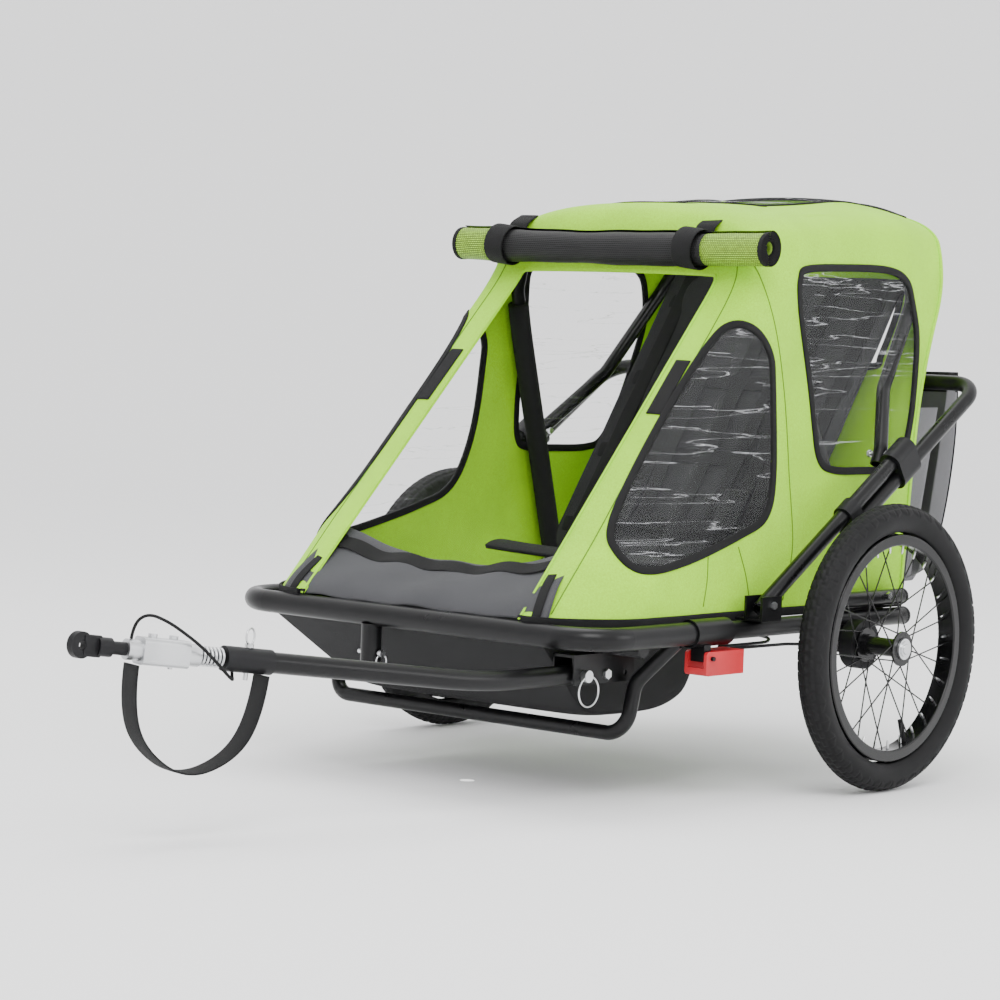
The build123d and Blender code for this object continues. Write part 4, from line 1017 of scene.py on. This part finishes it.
# ---------------------------------------------------------------- harnesses
# Two shoulder straps and a lap strap of black webbing for each child, meeting in a moulded
# buckle.
for centre in (-98, 98):
    label = "left" if centre > 0 else "right"
    for side in (-42, 42):
        path = place([(centre + side * (1 - 0.25 * math.sin(math.pi * f)),
                       *seat_point(f, 8 + 5 * math.sin(math.pi * f))) for f in np.linspace(0.14, 0.62, 24)])
        place_name = "outer" if side * centre > 0 else "inner"
        band(f"shoulder_strap_{label}_{place_name}", path, toward_child, 0.024, 0.002, WEBBING, "frame")
    lap = place([(centre + x, *seat_point(0.12, 9 + 6 * math.cos(math.pi * x / 170)))
                 for x in np.linspace(-80, 80, 24)])
    piece = band(f"lap_strap_{label}", lap, toward_child, 0.024, 0.002, WEBBING, "frame")
    buckle_path = place([(centre, *seat_point(f, 13)) for f in np.linspace(0.10, 0.24, 14)])
    bulge = np.array([(-0.5, 0.1), (-0.5, 0.8), (-0.35, 1), (0.35, 1), (0.5, 0.8), (0.5, 0.1), (0.35, 0),
                      (-0.35, 0)])
    buckle = band_mesh(f"buckle_{label}", buckle_path, toward_child, 0.044, 0.012, section=bulge)
    link_piece(f"buckle_{label}", buckle, BLACK_PLASTIC, "frame")
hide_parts("harness")

# ---------------------------------------------------------------- sleeves on the front hoop
# Padded black polyester sleeves, sewn into tubes and slid over the front hoop's two legs,
# where a child's head may touch them.
for side, label in ((1, "left"), (-1, "right")):
    leg = smooth_line(place([(side * 284, 88, 285), (side * 262, 20, 440), (side * 240, -50, 600),
                             (side * 232, -72, 655)]), 14)
    ring = np.linspace(0, 2 * math.pi, 20, endpoint=False)
    tube_section = np.stack([np.cos(ring), np.sin(ring)], -1) * 0.0155
    sleeve = band_mesh(f"hoop_sleeve_{label}", leg, (1, 0, 0), 1, 1, section=tube_section)
    link_piece(f"hoop_sleeve_{label}", sleeve, BLACK_CLOTH, "frame")

# ---------------------------------------------------------------- storage bag
# Grey polyester bag hung behind the cabin, open at the top, with a black tape round its top
# edge and three upright tapes.
BAG = cloth_finish("bag_polyester", (0.12, 0.12, 0.13), 900, 0.0003, 0.004, 0.75, 0.25)
bag_profile = [(264, 524), (259, 505), (232, 420), (190, 280), (215, 266), (280, 272), (342, 290), (372, 366),
               (390, 460), (392, 540), (389, 562)]
bag_net = []
for y, z in bag_profile:
    middle = 262 + (z - 262) * 0.2
    bag_net.append([(-246, y * 0.15 + middle * 0.85 + 30, z), (-250, y * 0.8 + middle * 0.2, z), (-246, y, z),
                    (-160, y + 1, z - 2), (0, y, z - 3), (160, y + 1, z - 2), (246, y, z),
                    (250, y * 0.8 + middle * 0.2, z), (246, y * 0.15 + middle * 0.85 + 30, z)])
bag_grid = loft(place(bag_net), 91, 121)
bag_mesh = make_mesh("storage_bag_cloth", bag_grid, quads(91, 121), cloth_map(bag_grid))
storage_bag = link_piece("storage_bag_cloth", bag_mesh, BAG, "frame")
thicken(storage_bag, 0.0012, 0)
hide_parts("storage_bag")
band("bag_top_tape", bag_grid[-1], (0, 1, 0), 0.03, 0.002, WEBBING, "frame")
for number, column in enumerate((26, 60, 94)):
    tape = bag_grid[30:, column]
    ahead = np.gradient(tape, axis=0)
    band(f"bag_upright_tape_{number}", tape + [0, 0.001, 0], np.cross(ahead, [1, 0, 0]), 0.022, 0.0016,
         WEBBING, "frame")

# ---------------------------------------------------------------- tyres
# Black rubber tyres with a small-block tread and scalloped shoulders, and the spoke nipples
# that stand out of the rims inside them.
WHEEL_X, WHEEL_Z = 0.405, 0.2
TYRE_AROUND, TYRE_ACROSS = 672, 61


def tyre_points():
    """Tyre surface: a rounded section turned about the axle, its radius raised by the tread's blocks."""
    turn = np.linspace(0, 2 * math.pi, TYRE_AROUND, endpoint=False)[:, None]
    sweep = np.linspace(-2.55, 2.55, TYRE_ACROSS)[None]
    half, tall = 0.0205, 0.0205
    x = half * np.sin(sweep)
    radius = 0.1775 + tall * np.cos(sweep)
    crown = np.clip((np.cos(sweep) - 0.25) / 0.1, 0, 1)
    pitch = 84
    wave = turn * pitch
    dash = (np.abs(sweep) < 0.13) & (np.mod(wave / (2 * math.pi), 1) < 0.62)
    block_row = np.abs(np.abs(sweep) - 0.42) < 0.16
    block = block_row & (np.mod(wave / (2 * math.pi) + 0.5 * (sweep > 0), 1) < 0.7)
    scallop = (np.abs(sweep) > 0.72) & (np.abs(sweep) < 1.12 + 0.12 * np.sin(wave * 0.5))
    shoulder = scallop & (np.mod(wave / (2 * math.pi) + 0.25, 1) < 0.78)
    lift = 0.0014 * crown * (dash | block) + 0.0013 * shoulder
    out = np.stack(np.broadcast_arrays(np.sin(sweep), np.cos(sweep)), -1)
    x = x + lift * out[..., 0]
    radius = radius + lift * out[..., 1]
    return np.stack([np.broadcast_to(x, radius.shape), radius * np.cos(turn), radius * np.sin(turn)], -1)


tread = tyre_points()
tyre_uv = np.stack(np.broadcast_arrays(np.linspace(0, 1.25, TYRE_AROUND)[:, None],
                                       np.linspace(0, 0.1, TYRE_ACROSS)[None]), -1)
TYRE_RUBBER = hard_finish("tyre_rubber", (0.006, 0.006, 0.0065), 0.55, 0.72, scale=900, depth=0.00012,
                          Specular_IOR_Level=0.2)
for side, label in ((1, "left"), (-1, "right")):
    centre = np.array([side * WHEEL_X, AXLE_Y, WHEEL_Z])
    mesh = make_mesh(f"tread_tyre_{label}", tread + centre, quads(TYRE_AROUND, TYRE_ACROSS, True), tyre_uv)
    tyre = link_piece(f"tread_tyre_{label}", mesh, TYRE_RUBBER, f"wheel_{label}")
    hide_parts(f"tyre_{label}")
    ring = np.linspace(0, 2 * math.pi, 28, endpoint=False) + math.pi / 56
    nipples = []
    faces = []
    tip = np.linspace(0, 2 * math.pi, 8, endpoint=False)
    for number, angle in enumerate(ring):
        out = np.array([0, math.cos(angle), math.sin(angle)])
        spin = np.array([0, -math.sin(angle), math.cos(angle)])
        for depth, size in ((0.1415, 0.0021), (0.1335, 0.0019), (0.1305, 0.0013)):
            circle = np.cos(tip)[:, None] * np.array([1, 0, 0]) + np.sin(tip)[:, None] * spin
            nipples.append(centre + out * depth + size * circle)
        faces.append(quads(3, 8, False, True) + number * 24)
    mesh = make_mesh(f"spoke_nipples_{label}", np.concatenate(nipples), np.concatenate(faces), tidy=True)
    link_piece(f"spoke_nipples_{label}", mesh, ZINC, f"wheel_{label}")
